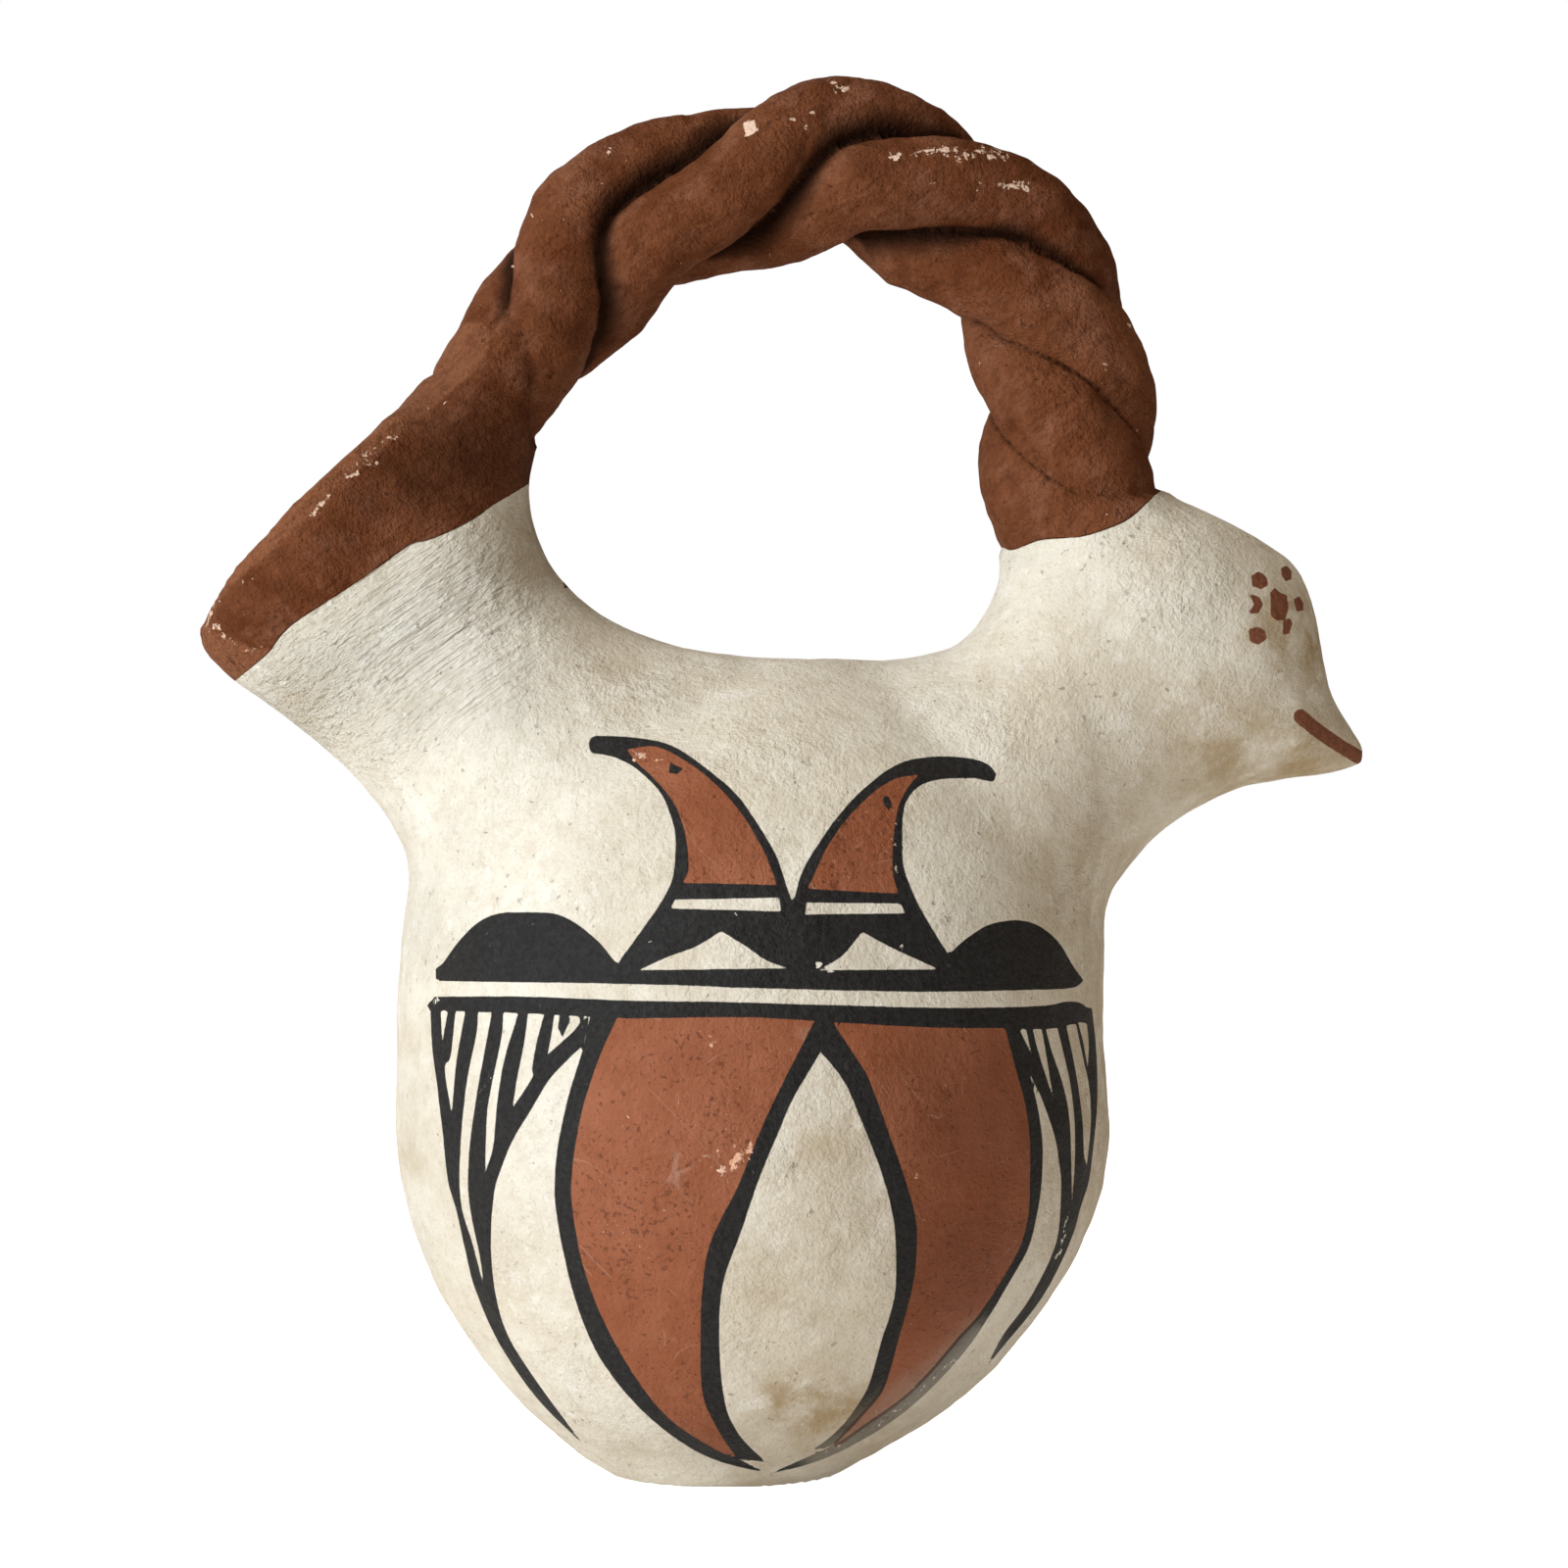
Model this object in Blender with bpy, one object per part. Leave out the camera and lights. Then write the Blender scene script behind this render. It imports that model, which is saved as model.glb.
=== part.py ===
"""Bird effigy pot: a hand-built clay vessel in the form of a bird, fired in one piece.

A round body carries a flared tail with the mouth in its end, a neck and head with a beak, and
a handle of three twisted clay coils from the tail's rim to the back of the neck. The real pot is
one piece: here it is parted level at the shoulder, as a caster would, so that the hollow of each
half lies open. Lengths are in metres, +Z is up, the bird looks towards +X, and the origin is at
foot level under the middle of its length.
"""

import bmesh
import bpy
import numpy as np

# Driving sizes, in metres
HEIGHT = 0.198
WALL = 0.0045
FLOOR_THICKNESS = 0.006
FOOT_RADIUS = 0.0165
COIL_THICKNESS = 0.0128
PARTING_GAP = 0.0003

# How finely the clay is modelled, and how much the joints between its forms are eased
SKIN_CELL = HEIGHT / 190
CAVITY_CELL = HEIGHT / 110
SECTION_POINTS = 40
COIL_POINTS = 24
RIB_STEPS = 4
BODY_STEPS = 5
COIL_STEPS = 8
SKIN_TRIANGLES = 7400
CAVITY_TRIANGLES = 1300
EASE_SHARE = 0.5
FORM_EASE_STEPS = 6
COIL_EASE_STEPS = 1
CAVITY_EASE_STEPS = 2
FOLD_KEPT = np.radians(65)
SHARP_FROM = np.radians(60)

# The foot's form narrows below the floor to this share, the beak ends at this share of its last
# rib, and a section drawn in by the wall keeps at least this share
FOOT_CORE_SHARE = 0.55
BEAK_TIP_SHARE = 0.2
LEAST_SHARE = 0.1

# Places on the form below are thousandths of the pot's height: x forward from the middle of
# its length, z up from the foot. A rib is one section of a form: the two ends of its width in
# the bird's side view, and its half depth across the bird.

# The body, from the foot up: height, tail side, breast side, half depth
BODY_RIBS = (
    (28, -163, 92, 124),
    (70, -206, 146, 170),
    (127, -246, 192, 211),
    (183, -267, 223, 236),
    (240, -278, 235, 247),
    (310, -277, 231, 246),
    (380, -271, 231, 237),
    (440, -262, 226, 220),
    (500, -225, 196, 186),
    (545, -150, 135, 140),
    (575, -50, 70, 75),
)
BODY_TOP = (10, 583)
FOOT_PLACE = -42

# Where the solid is parted, under the roots of the tail and the neck
SHOULDER = 404

# The tail, from inside the body out to the mouth: upper end, lower end, half depth
TAIL_RIBS = (
    ((0, 583), (-196, 352), 170),
    ((-84, 595), (-253, 402), 155),
    ((-133, 617), (-274, 452), 130),
    ((-164, 645), (-297, 485), 112),
    ((-178, 677), (-330, 519), 103),
    ((-200, 726), (-372, 552), 101),
    ((-231, 757), (-401, 573), 104),
    ((-262, 774), (-423, 603), 109),
)

# The neck and head, from inside the body out to the tip of the beak
NECK_RIBS = (
    ((28, 581), (184, 296), 150),
    ((93, 584), (216, 370), 141),
    ((132, 598), (233, 412), 126),
    ((153, 631), (248, 433), 114),
    ((170, 662), (267, 455), 106),
    ((212, 690), (294, 474), 100),
    ((269, 700), (327, 491), 97),
    ((311, 685), (353, 496), 90),
    ((346, 667), (371, 498), 77),
    ((371, 646), (384, 500), 58),
    ((382, 613), (392, 500), 43),
    ((388, 578), (399, 501), 33),
    ((396, 555), (406, 502), 25),
    ((408, 536), (413, 504), 16),
)
BEAK_TIP = (423, 515)
HOLLOW_NECK_RIBS = 8

# The stems that the handle's coils grow out of, on the tail and on the neck
TAIL_STEM_RIBS = (
    ((-295, 726), (-181, 662), 75),
    ((-274, 765), (-181, 712), 68),
    ((-241, 803), (-171, 754), 60),
    ((-220, 826), (-147, 791), 54),
    ((-199, 858), (-138, 824), 48),
    ((-180, 891), (-131, 863), 40),
    ((-145, 936), (-108, 905), 30),
    ((-101, 969), (-76, 937), 20),
)
NECK_STEM_RIBS = (
    ((158, 610), (310, 640), 80),
    ((155, 668), (292, 690), 68),
    ((152, 700), (270, 708), 58),
    ((160, 735), (256, 742), 46),
)

# The handle, from the tail to the neck: x and z of its middle line, degrees that its twist has
# turned, and two hundredths of a coil's radius: how far the coils stand off the line, and how
# full they are
HANDLE_STATIONS = (
    (-210, 775, -80, 35, 100),
    (-166, 832, -40, 60, 98),
    (-120, 888, 25, 85, 100),
    (-43, 919, 100, 100, 100),
    (41, 938, 188, 100, 100),
    (118, 907, 260, 100, 100),
    (163, 874, 312, 98, 100),
    (184, 838, 365, 92, 102),
    (199, 800, 420, 85, 108),
    (205, 760, 478, 75, 113),
    (206, 718, 535, 65, 118),
    (212, 672, 590, 55, 120),
)
COILS = 3


def place(points):
    """Metres for points in thousandths of the pot's height."""
    return np.array(points, float) * HEIGHT / 1000


def smooth_rows(rows, per_span):
    """A smooth run through each row of numbers, by cubic pieces that pass through every row."""
    rows = np.array(rows, float)
    first = 2 * rows[0] - rows[1]
    last = 2 * rows[-1] - rows[-2]
    padded = np.vstack([first, rows, last])
    run = []
    for at in range(len(rows) - 1):
        before, start, end, after = padded[at : at + 4]
        for step in range(per_span):
            t = step / per_span
            run.append(
                start
                + 0.5 * t * (end - before)
                + t * t * (before - 2.5 * start + 2 * end - 0.5 * after)
                + t * t * t * 0.5 * (3 * start - before - 3 * end + after)
            )
    run.append(rows[-1])
    return np.array(run)


def oval(centre, long_half, depth_half, points):
    """An oval section: along long_half in the side view, and across the bird."""
    turn = np.linspace(0, 2 * np.pi, points, endpoint=False)
    ring = centre + np.outer(np.cos(turn), long_half)
    ring[:, 1] += depth_half * np.sin(turn)
    return ring


def skin_over(rings):
    """A closed mesh over a run of sections, with a flat cap at each end."""
    form = bmesh.new()
    loops = [[form.verts.new(point) for point in ring] for ring in rings]
    count = len(loops[0])
    for lower, upper in zip(loops, loops[1:]):
        for at in range(count):
            beyond = (at + 1) % count
            form.faces.new((lower[at], lower[beyond], upper[beyond], upper[at]))
    form.faces.new(loops[0][::-1])
    form.faces.new(loops[-1])
    bmesh.ops.recalc_face_normals(form, faces=form.faces)
    return form


def rib_rows(ribs):
    """Ribs as rows of numbers in metres: upper x and z, lower x and z, half depth."""
    return place([(*upper, *lower, depth) for upper, lower, depth in ribs])


def drawn_in(half, inset):
    """A half width less the inset, but never less than a small share of it."""
    return max(half - inset, half * LEAST_SHARE)


def ribbed_form(rows, inset=0.0):
    """A form over ribs given as rows, each section drawn in by the inset all round."""
    rings = []
    for upper_x, upper_z, lower_x, lower_z, depth in smooth_rows(rows, RIB_STEPS):
        upper = np.array((upper_x, 0, upper_z))
        lower = np.array((lower_x, 0, lower_z))
        half = (upper - lower) / 2
        length = np.linalg.norm(half)
        centre = (upper + lower) / 2
        long_half = half * drawn_in(length, inset) / length
        rings.append(oval(centre, long_half, drawn_in(depth, inset), SECTION_POINTS))
    return skin_over(rings)


def body_form(inset=0.0, floor=None):
    """The round body as level sections, from under the foot to the crown of its back."""
    foot_x = FOOT_PLACE * HEIGHT / 1000
    foot = (0.0, foot_x - FOOT_RADIUS, foot_x + FOOT_RADIUS, FOOT_RADIUS)
    core = FOOT_RADIUS * FOOT_CORE_SHARE
    under = (-WALL, foot_x - core, foot_x + core, core)
    top_x, top_z = place(BODY_TOP)
    cap_half = 2 * WALL
    crown = (top_z, top_x - cap_half, top_x + cap_half, cap_half)
    rows = np.vstack([under, foot, place(BODY_RIBS), crown])
    rings = []
    for height, back, breast, depth in smooth_rows(rows, BODY_STEPS):
        if floor is not None and height < floor:
            continue
        if height > top_z - inset:
            continue
        centre = np.array(((breast + back) / 2, 0, height))
        long_half = np.array((drawn_in((breast - back) / 2, inset), 0, 0))
        rings.append(oval(centre, long_half, drawn_in(depth, inset), SECTION_POINTS))
    return skin_over(rings)


def beyond_last(rows, distance):
    """The rows with one more rib, carried on past the last by the distance."""
    last = rows[-1]
    step = last[:4] - rows[-2][:4]
    middle_step = np.array((step[0] + step[2], step[1] + step[3])) / 2
    onward = middle_step / np.linalg.norm(middle_step) * distance
    extra = last + np.array((*onward, *onward, 0))
    return np.vstack([rows, extra])


def handle_coil(index):
    """One coil of the handle: a round section carried along the handle's line as it twists."""
    stations = np.array(HANDLE_STATIONS, float)
    line = smooth_rows(place(stations[:, :2]), COIL_STEPS)
    twist, stand_off, fullness = smooth_rows(stations[:, 2:], COIL_STEPS).T
    turn = np.radians(twist) - index * 2 * np.pi / COILS
    radius = COIL_THICKNESS / 2 * fullness / 100
    swing = radius * stand_off / 100
    along = np.gradient(line, axis=0)
    along /= np.linalg.norm(along, axis=1)[:, None]
    out_x, out_z = -along[:, 1], along[:, 0]
    middle = np.stack(
        (
            line[:, 0] + out_x * swing * np.sin(turn),
            -swing * np.cos(turn),
            line[:, 1] + out_z * swing * np.sin(turn),
        ),
        axis=1,
    )
    heading = np.gradient(middle, axis=0)
    heading /= np.linalg.norm(heading, axis=1)[:, None]
    angle = np.linspace(0, 2 * np.pi, COIL_POINTS, endpoint=False)
    rings = []
    for centre, ahead, reach in zip(middle, heading, radius):
        side = np.cross(ahead, (0, 1, 0))
        side /= np.linalg.norm(side)
        up = np.cross(side, ahead)
        rings.append(centre + reach * (np.outer(np.cos(angle), side) + np.outer(np.sin(angle), up)))
    return skin_over(rings)


def add_object(name, forms):
    """A mesh object that holds the given forms."""
    joined = bmesh.new()
    for form in forms:
        piece = bpy.data.meshes.new(name)
        form.to_mesh(piece)
        form.free()
        joined.from_mesh(piece)
        bpy.data.meshes.remove(piece)
    mesh = bpy.data.meshes.new(name)
    joined.to_mesh(mesh)
    joined.free()
    obj = bpy.data.objects.new(name, mesh)
    bpy.context.scene.collection.objects.link(obj)
    return obj


def settle(obj):
    """Keeps what the object's modifiers make as its own mesh."""
    graph = bpy.context.evaluated_depsgraph_get()
    made = bpy.data.meshes.new_from_object(obj.evaluated_get(graph))
    obj.modifiers.clear()
    obj.data = made


def fuse(obj, cell, ease_steps):
    """Joins overlapping forms into one skin and eases the hollows where they meet."""
    remesh = obj.modifiers.new("fuse", "REMESH")
    remesh.mode = "VOXEL"
    remesh.voxel_size = cell
    ease = obj.modifiers.new("ease", "SMOOTH")
    ease.factor = EASE_SHARE
    ease.iterations = ease_steps
    settle(obj)


def thin_out(obj, triangles):
    """Brings the mesh down to about the given number of triangles."""
    obj.data.calc_loop_triangles()
    thin = obj.modifiers.new("thin", "DECIMATE")
    thin.ratio = min(1.0, triangles / len(obj.data.loop_triangles))
    thin.use_collapse_triangulate = True
    settle(obj)
    form = bmesh.new()
    form.from_mesh(obj.data)
    gentle = [edge for edge in form.edges if edge.calc_face_angle(np.pi) < FOLD_KEPT]
    bmesh.ops.beautify_fill(form, faces=form.faces, edges=gentle, use_restrict_tag=False, method="ANGLE")
    form.to_mesh(obj.data)
    form.free()


def cut_foot_flat(obj):
    """Cuts off what is below the foot and closes the cut with one flat face."""
    form = bmesh.new()
    form.from_mesh(obj.data)
    everything = form.verts[:] + form.edges[:] + form.faces[:]
    bmesh.ops.bisect_plane(
        form, geom=everything, plane_co=(0, 0, 0), plane_no=(0, 0, 1), clear_inner=True
    )
    rim = [edge for edge in form.edges if edge.is_boundary]
    bmesh.ops.holes_fill(form, edges=rim, sides=0)
    bmesh.ops.recalc_face_normals(form, faces=form.faces)
    form.to_mesh(obj.data)
    form.free()


def cut_away(obj, cutter):
    """Takes the cutter's space out of the object, and keeps the cutter only as a guide."""
    cutter.hide_render = True
    cutter.display_type = "WIRE"
    cut = obj.modifiers.new(cutter.name, "BOOLEAN")
    cut.operation = "DIFFERENCE"
    cut.solver = "EXACT"
    cut.object = cutter
    settle(obj)


def block_between(name, low, high):
    """A guide block over and round the whole pot, between two heights."""
    block = bmesh.new()
    bmesh.ops.create_cube(block, size=1)
    bmesh.ops.scale(block, vec=(2 * HEIGHT, 2 * HEIGHT, high - low), verts=block.verts)
    bmesh.ops.translate(block, vec=(0, 0, (low + high) / 2), verts=block.verts)
    return add_object(name, [block])


def make_clay():
    """Cream slip over fired clay."""
    clay = bpy.data.materials.new("slipped_clay")
    clay.use_nodes = True
    shader = clay.node_tree.nodes["Principled BSDF"]
    shader.inputs["Base Color"].default_value = (0.72, 0.66, 0.55, 1)
    shader.inputs["Roughness"].default_value = 0.85
    shader.inputs["Metallic"].default_value = 0.0
    return clay


def make_whole_pot(name):
    """The whole pot: outer skin, flat foot, and the hollow cut out through the tail's mouth."""
    tail_rows = rib_rows(TAIL_RIBS)
    neck_rows = rib_rows(NECK_RIBS)
    tip = place(BEAK_TIP)
    tip_half = BEAK_TIP_SHARE * neck_rows[-1][4]
    beak_end = (tip[0], tip[1] + tip_half, tip[0], tip[1] - tip_half, tip_half)
    outer_neck = np.vstack([neck_rows, beak_end])

    pot = add_object(
        name,
        [
            body_form(),
            ribbed_form(tail_rows),
            ribbed_form(outer_neck),
            ribbed_form(rib_rows(TAIL_STEM_RIBS)),
            ribbed_form(rib_rows(NECK_STEM_RIBS)),
        ],
    )
    fuse(pot, SKIN_CELL, FORM_EASE_STEPS)
    coils = add_object("coils", [handle_coil(index) for index in range(COILS)])
    join = bmesh.new()
    join.from_mesh(pot.data)
    join.from_mesh(coils.data)
    join.to_mesh(pot.data)
    join.free()
    bpy.data.objects.remove(coils)
    fuse(pot, SKIN_CELL, COIL_EASE_STEPS)
    thin_out(pot, SKIN_TRIANGLES)
    cut_foot_flat(pot)

    hollow = add_object(
        "hollow",
        [
            body_form(WALL, FLOOR_THICKNESS),
            ribbed_form(beyond_last(tail_rows, 2 * WALL), WALL),
            ribbed_form(neck_rows[:HOLLOW_NECK_RIBS], WALL),
        ],
    )
    fuse(hollow, CAVITY_CELL, CAVITY_EASE_STEPS)
    thin_out(hollow, CAVITY_TRIANGLES)
    cut_away(pot, hollow)
    return pot


def make_pot():
    """The pot, parted level at the shoulder so that each half's hollow lies open."""
    lower = make_whole_pot("pot_lower_body")
    upper = add_object("pot_tail_head_and_handle", [])
    upper.data = lower.data.copy()
    shoulder = place(SHOULDER)
    cut_away(lower, block_between("above_the_shoulder", shoulder, 2 * HEIGHT))
    cut_away(upper, block_between("below_the_shoulder", -HEIGHT, shoulder + PARTING_GAP))
    clay = make_clay()
    for half in (lower, upper):
        half.data.shade_smooth()
        half.data.set_sharp_from_angle(angle=SHARP_FROM)
        half.data.materials.clear()
        half.data.materials.append(clay)


for old in list(bpy.data.objects):
    bpy.data.objects.remove(old)
make_pot()
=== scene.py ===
"""Painted bird effigy pot: a hollow clay bird with a twisted handle, in slips and brushwork.

The pot is one surface, worked out with numpy from the ribs of its forms: body, tail, neck and
head, and the three coils of its handle. The forms overlap and are fused into one skin, pressed
and nicked as a hand-built pot is, and hollowed through the mouth in the tail. The painted design
is kept on the skin as signed distances from the edges of the brushwork, which the clay's
material reads. Lengths are in metres, +Z is up, and the bird looks towards +X.
"""

import logging
import math
from dataclasses import dataclass, field
from enum import Enum

import bpy
import numpy as np
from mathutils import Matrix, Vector
from numpy.typing import ArrayLike, NDArray


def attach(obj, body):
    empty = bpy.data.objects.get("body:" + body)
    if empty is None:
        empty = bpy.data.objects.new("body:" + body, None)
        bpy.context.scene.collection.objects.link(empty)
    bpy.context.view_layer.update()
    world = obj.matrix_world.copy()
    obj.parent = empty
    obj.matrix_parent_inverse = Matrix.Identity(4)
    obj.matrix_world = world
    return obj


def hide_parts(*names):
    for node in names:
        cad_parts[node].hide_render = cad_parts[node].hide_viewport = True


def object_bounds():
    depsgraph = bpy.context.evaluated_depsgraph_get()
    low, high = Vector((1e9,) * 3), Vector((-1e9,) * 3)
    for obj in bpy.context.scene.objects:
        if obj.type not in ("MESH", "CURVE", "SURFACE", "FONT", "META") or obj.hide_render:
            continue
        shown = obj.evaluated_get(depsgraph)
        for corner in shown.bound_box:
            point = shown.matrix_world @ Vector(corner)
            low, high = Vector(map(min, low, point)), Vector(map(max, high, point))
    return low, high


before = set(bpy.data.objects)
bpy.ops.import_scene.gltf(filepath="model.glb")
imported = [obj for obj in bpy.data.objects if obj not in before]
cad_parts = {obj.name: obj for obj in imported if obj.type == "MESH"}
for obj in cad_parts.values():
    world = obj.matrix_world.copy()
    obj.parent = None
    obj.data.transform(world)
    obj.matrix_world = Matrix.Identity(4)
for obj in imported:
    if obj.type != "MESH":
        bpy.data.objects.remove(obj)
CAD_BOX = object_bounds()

Numbers = NDArray[np.float64]
Whole = NDArray[np.int64]
Truths = NDArray[np.bool_]
Colour = tuple[float, float, float]
Pixel = tuple[float, float]
Run = tuple[Pixel, ...]
Object = bpy.types.Object
Mesh = bpy.types.Mesh
Material = bpy.types.Material
Tree = bpy.types.NodeTree
Node = bpy.types.Node
Socket = bpy.types.NodeSocket

LOG = logging.getLogger("bird_effigy_pot")

# Driving sizes, in metres
HEIGHT = 0.198
WALL = 0.0045
FLOOR_THICKNESS = 0.006
FOOT_RADIUS = 0.0165
COIL_THICKNESS = 0.0128
MILLIMETRE = 0.001
TINY = 1e-9

# The picture: how many of its points the pot is tall, and where the middle of the pot's length and
# its foot lie in the frame of 1600 by 1600 points
PICTURE_SIZE = 1600
POT_IN_PICTURE = 1419
PICTURE_MIDDLE = 798.5
EYE_ABOVE_FOOT = 700
VIEW_DISTANCE = 0.65
POINT = HEIGHT / POT_IN_PICTURE


def placed(values: ArrayLike) -> Numbers:
    """Metres for places given in thousandths of the pot's height."""
    return np.asarray(values, float) * HEIGHT / 1000


def smooth_rows(rows: ArrayLike, per_span: int) -> Numbers:
    """A smooth run through rows of numbers.

    Each span is the cubic that passes through its two rows and whose slope at each row is half
    the step between that row's neighbours (Catmull and Rom's rule).

    Args:
        rows: The rows that the run passes through.
        per_span: Steps from one row to the next.

    Returns:
        The rows of the run, the given ones among them.
    """
    rows = np.asarray(rows, float)
    padded = np.vstack([2 * rows[0] - rows[1], rows, 2 * rows[-1] - rows[-2]])
    spans = len(rows) - 1
    run = np.linspace(0, spans, spans * per_span + 1)
    at = np.minimum(run.astype(int), spans - 1)
    t = (run - at)[:, None]
    before, start, end, after = (padded[at + step] for step in range(4))
    return (
        start
        + 0.5 * t * (end - before)
        + t**2 * (before - 2.5 * start + 2 * end - 0.5 * after)
        + 0.5 * t**3 * (3 * start - before - 3 * end + after)
    )


def bell(gap: Numbers, width: float) -> Numbers:
    """A bell curve: 1 at no gap, falling off smoothly over the width."""
    return np.exp(-((gap / width) ** 2))


def eased_step(value: Numbers, low: float, high: float) -> Numbers:
    """0 below the low value, 1 above the high one, and a smooth cubic step between."""
    t = np.clip((value - low) / (high - low), 0, 1)
    return t * t * (3 - 2 * t)


def soft_noise(points: Numbers, wavelength: float, seed: int, waves: int = 28) -> Numbers:
    """Smooth noise of about -1 to 1: a sum of cosine waves in scattered directions.

    Args:
        points: Places, one row each.
        wavelength: Mean length of the waves.
        seed: Fixes the directions, lengths and phases.
        waves: How many waves are added.

    Returns:
        One value for each point.
    """
    draw = np.random.default_rng(seed)
    ways = draw.normal(size=(waves, 3))
    ways /= np.linalg.norm(ways, axis=1)[:, None]
    rates = 2 * np.pi / wavelength * draw.uniform(0.65, 1.45, waves)
    phases = draw.uniform(0, 2 * np.pi, waves)
    return np.cos(points @ (ways * rates[:, None]).T + phases).sum(axis=1) / math.sqrt(2 * waves)


@dataclass(frozen=True)
class SightLines:
    """The lines of sight from the camera to the picture, which lay a picture point on the clay.

    The far side of the pot is read as if it were the near one, so the design is on both sides.
    """

    distance: float = VIEW_DISTANCE
    point: float = POINT
    middle: float = PICTURE_MIDDLE
    eye_height: float = EYE_ABOVE_FOOT * POINT

    def seen(self, places: Numbers) -> Numbers:
        """Picture points at which places on the pot are seen, from their own side.

        A place x, y, z is seen at x and height over its distance from the eye, times the
        distance of the picture plane.

        Args:
            places: Places in metres, one row each.

        Returns:
            Picture points, across and down, one row each.
        """
        away = self.distance - np.abs(places[:, 1])
        reach = self.distance / self.point / away
        across = self.middle + reach * places[:, 0]
        down = PICTURE_SIZE / 2 - reach * (places[:, 2] - self.eye_height)
        return np.stack((across, down), axis=1)

    def make_camera(self) -> None:
        """Makes the camera: level, square on to the bird's side, at the picture's height."""
        data = bpy.data.cameras.new("picture_view")
        data.sensor_width = 36.0
        data.lens = data.sensor_width * self.distance / self.point / PICTURE_SIZE
        camera = bpy.data.objects.new("picture_view", data)
        across = (PICTURE_SIZE / 2 - self.middle) * self.point
        camera.location = (across, -self.distance, self.eye_height)
        camera.rotation_euler = (math.pi / 2, 0, 0)
        bpy.context.scene.collection.objects.link(camera)
        bpy.context.scene.camera = camera


@dataclass
class Skin:
    """A mesh held as arrays: places of its corners, and faces as rows of corner numbers."""

    places: Numbers
    faces: list[list[int]]

    @classmethod
    def over_rings(cls, rings: Numbers) -> "Skin":
        """A closed skin over a grid of rings, with a flat cap on each end.

        Corner (i, j) of the grid is joined to (i, j + 1), (i + 1, j + 1) and (i + 1, j), where j
        runs round a ring and wraps.

        Args:
            rings: A grid of places, ring by point by x, y, z.

        Returns:
            The skin.
        """
        count, points = rings.shape[:2]
        number = np.arange(count * points).reshape(count, points)
        beyond = np.roll(number, -1, axis=1)
        quads = np.stack((number[:-1], beyond[:-1], beyond[1:], number[1:]), axis=-1).reshape(-1, 4)
        faces = quads.tolist() + [number[0, ::-1].tolist(), number[-1].tolist()]
        return cls(rings.reshape(-1, 3), faces)

    @classmethod
    def together(cls, skins: list["Skin"]) -> "Skin":
        """Several skins as one mesh, still overlapping.

        Args:
            skins: The skins to hold in one.

        Returns:
            One skin with all their corners and faces.
        """
        places: list[Numbers] = []
        faces: list[list[int]] = []
        start = 0
        for skin in skins:
            places.append(skin.places)
            faces += [[start + corner for corner in face] for face in skin.faces]
            start += len(skin.places)
        return cls(np.vstack(places), faces)

    @classmethod
    def of_mesh(cls, mesh: Mesh) -> "Skin":
        """The skin that a mesh of four-cornered faces holds."""
        return cls(corner_places(mesh), four_corners(mesh).tolist())

    def as_object(self, name: str) -> Object:
        """Puts the skin into the scene.

        Args:
            name: The new object's name.

        Returns:
            The object, at the origin, unturned and unscaled.
        """
        mesh = bpy.data.meshes.new(name)
        mesh.from_pydata(self.places.tolist(), [], self.faces)
        obj = bpy.data.objects.new(name, mesh)
        bpy.context.scene.collection.objects.link(obj)
        return obj


def read(items: bpy.types.bpy_prop_collection, name: str, width: int, kind: type) -> NDArray:
    """One property of each item of a mesh, as rows of the width."""
    flat = np.empty(len(items) * width, kind)
    items.foreach_get(name, flat)
    return flat.reshape(-1, width)


def corner_places(mesh: Mesh) -> Numbers:
    """The mesh's corners as rows of x, y, z."""
    return read(mesh.vertices, "co", 3, np.float32).astype(float)


def move_corners(mesh: Mesh, places: Numbers) -> None:
    """Puts the mesh's corners at new places."""
    mesh.vertices.foreach_set("co", places.astype(np.float32).ravel())
    mesh.update()


def corner_normals(mesh: Mesh) -> Numbers:
    """The outward direction at each corner of the mesh."""
    return read(mesh.vertices, "normal", 3, np.float32).astype(float)


def four_corners(mesh: Mesh) -> Whole:
    """The corner numbers of a mesh whose faces all have four corners, a row for each face."""
    return read(mesh.loops, "vertex_index", 1, np.int32).reshape(-1, 4).astype(np.int64)


def ease_corners(mesh: Mesh, share: Numbers, steps: int) -> None:
    """Moves each corner towards the mean of its neighbours, step after step.

    Args:
        mesh: The mesh.
        share: How much of the way each corner goes in a step.
        steps: How many steps.
    """
    places = corner_places(mesh)
    ends = read(mesh.edges, "vertices", 2, np.int32).astype(np.int64)
    both = np.concatenate((ends, ends[:, ::-1]))
    count = np.bincount(both[:, 0], minlength=len(places))
    for _ in range(steps):
        sums = [np.bincount(both[:, 0], places[both[:, 1], axis], len(places)) for axis in range(3)]
        mean = np.stack(sums, axis=1) / count[:, None]
        places += share[:, None] * (mean - places)
    move_corners(mesh, places)


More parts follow.
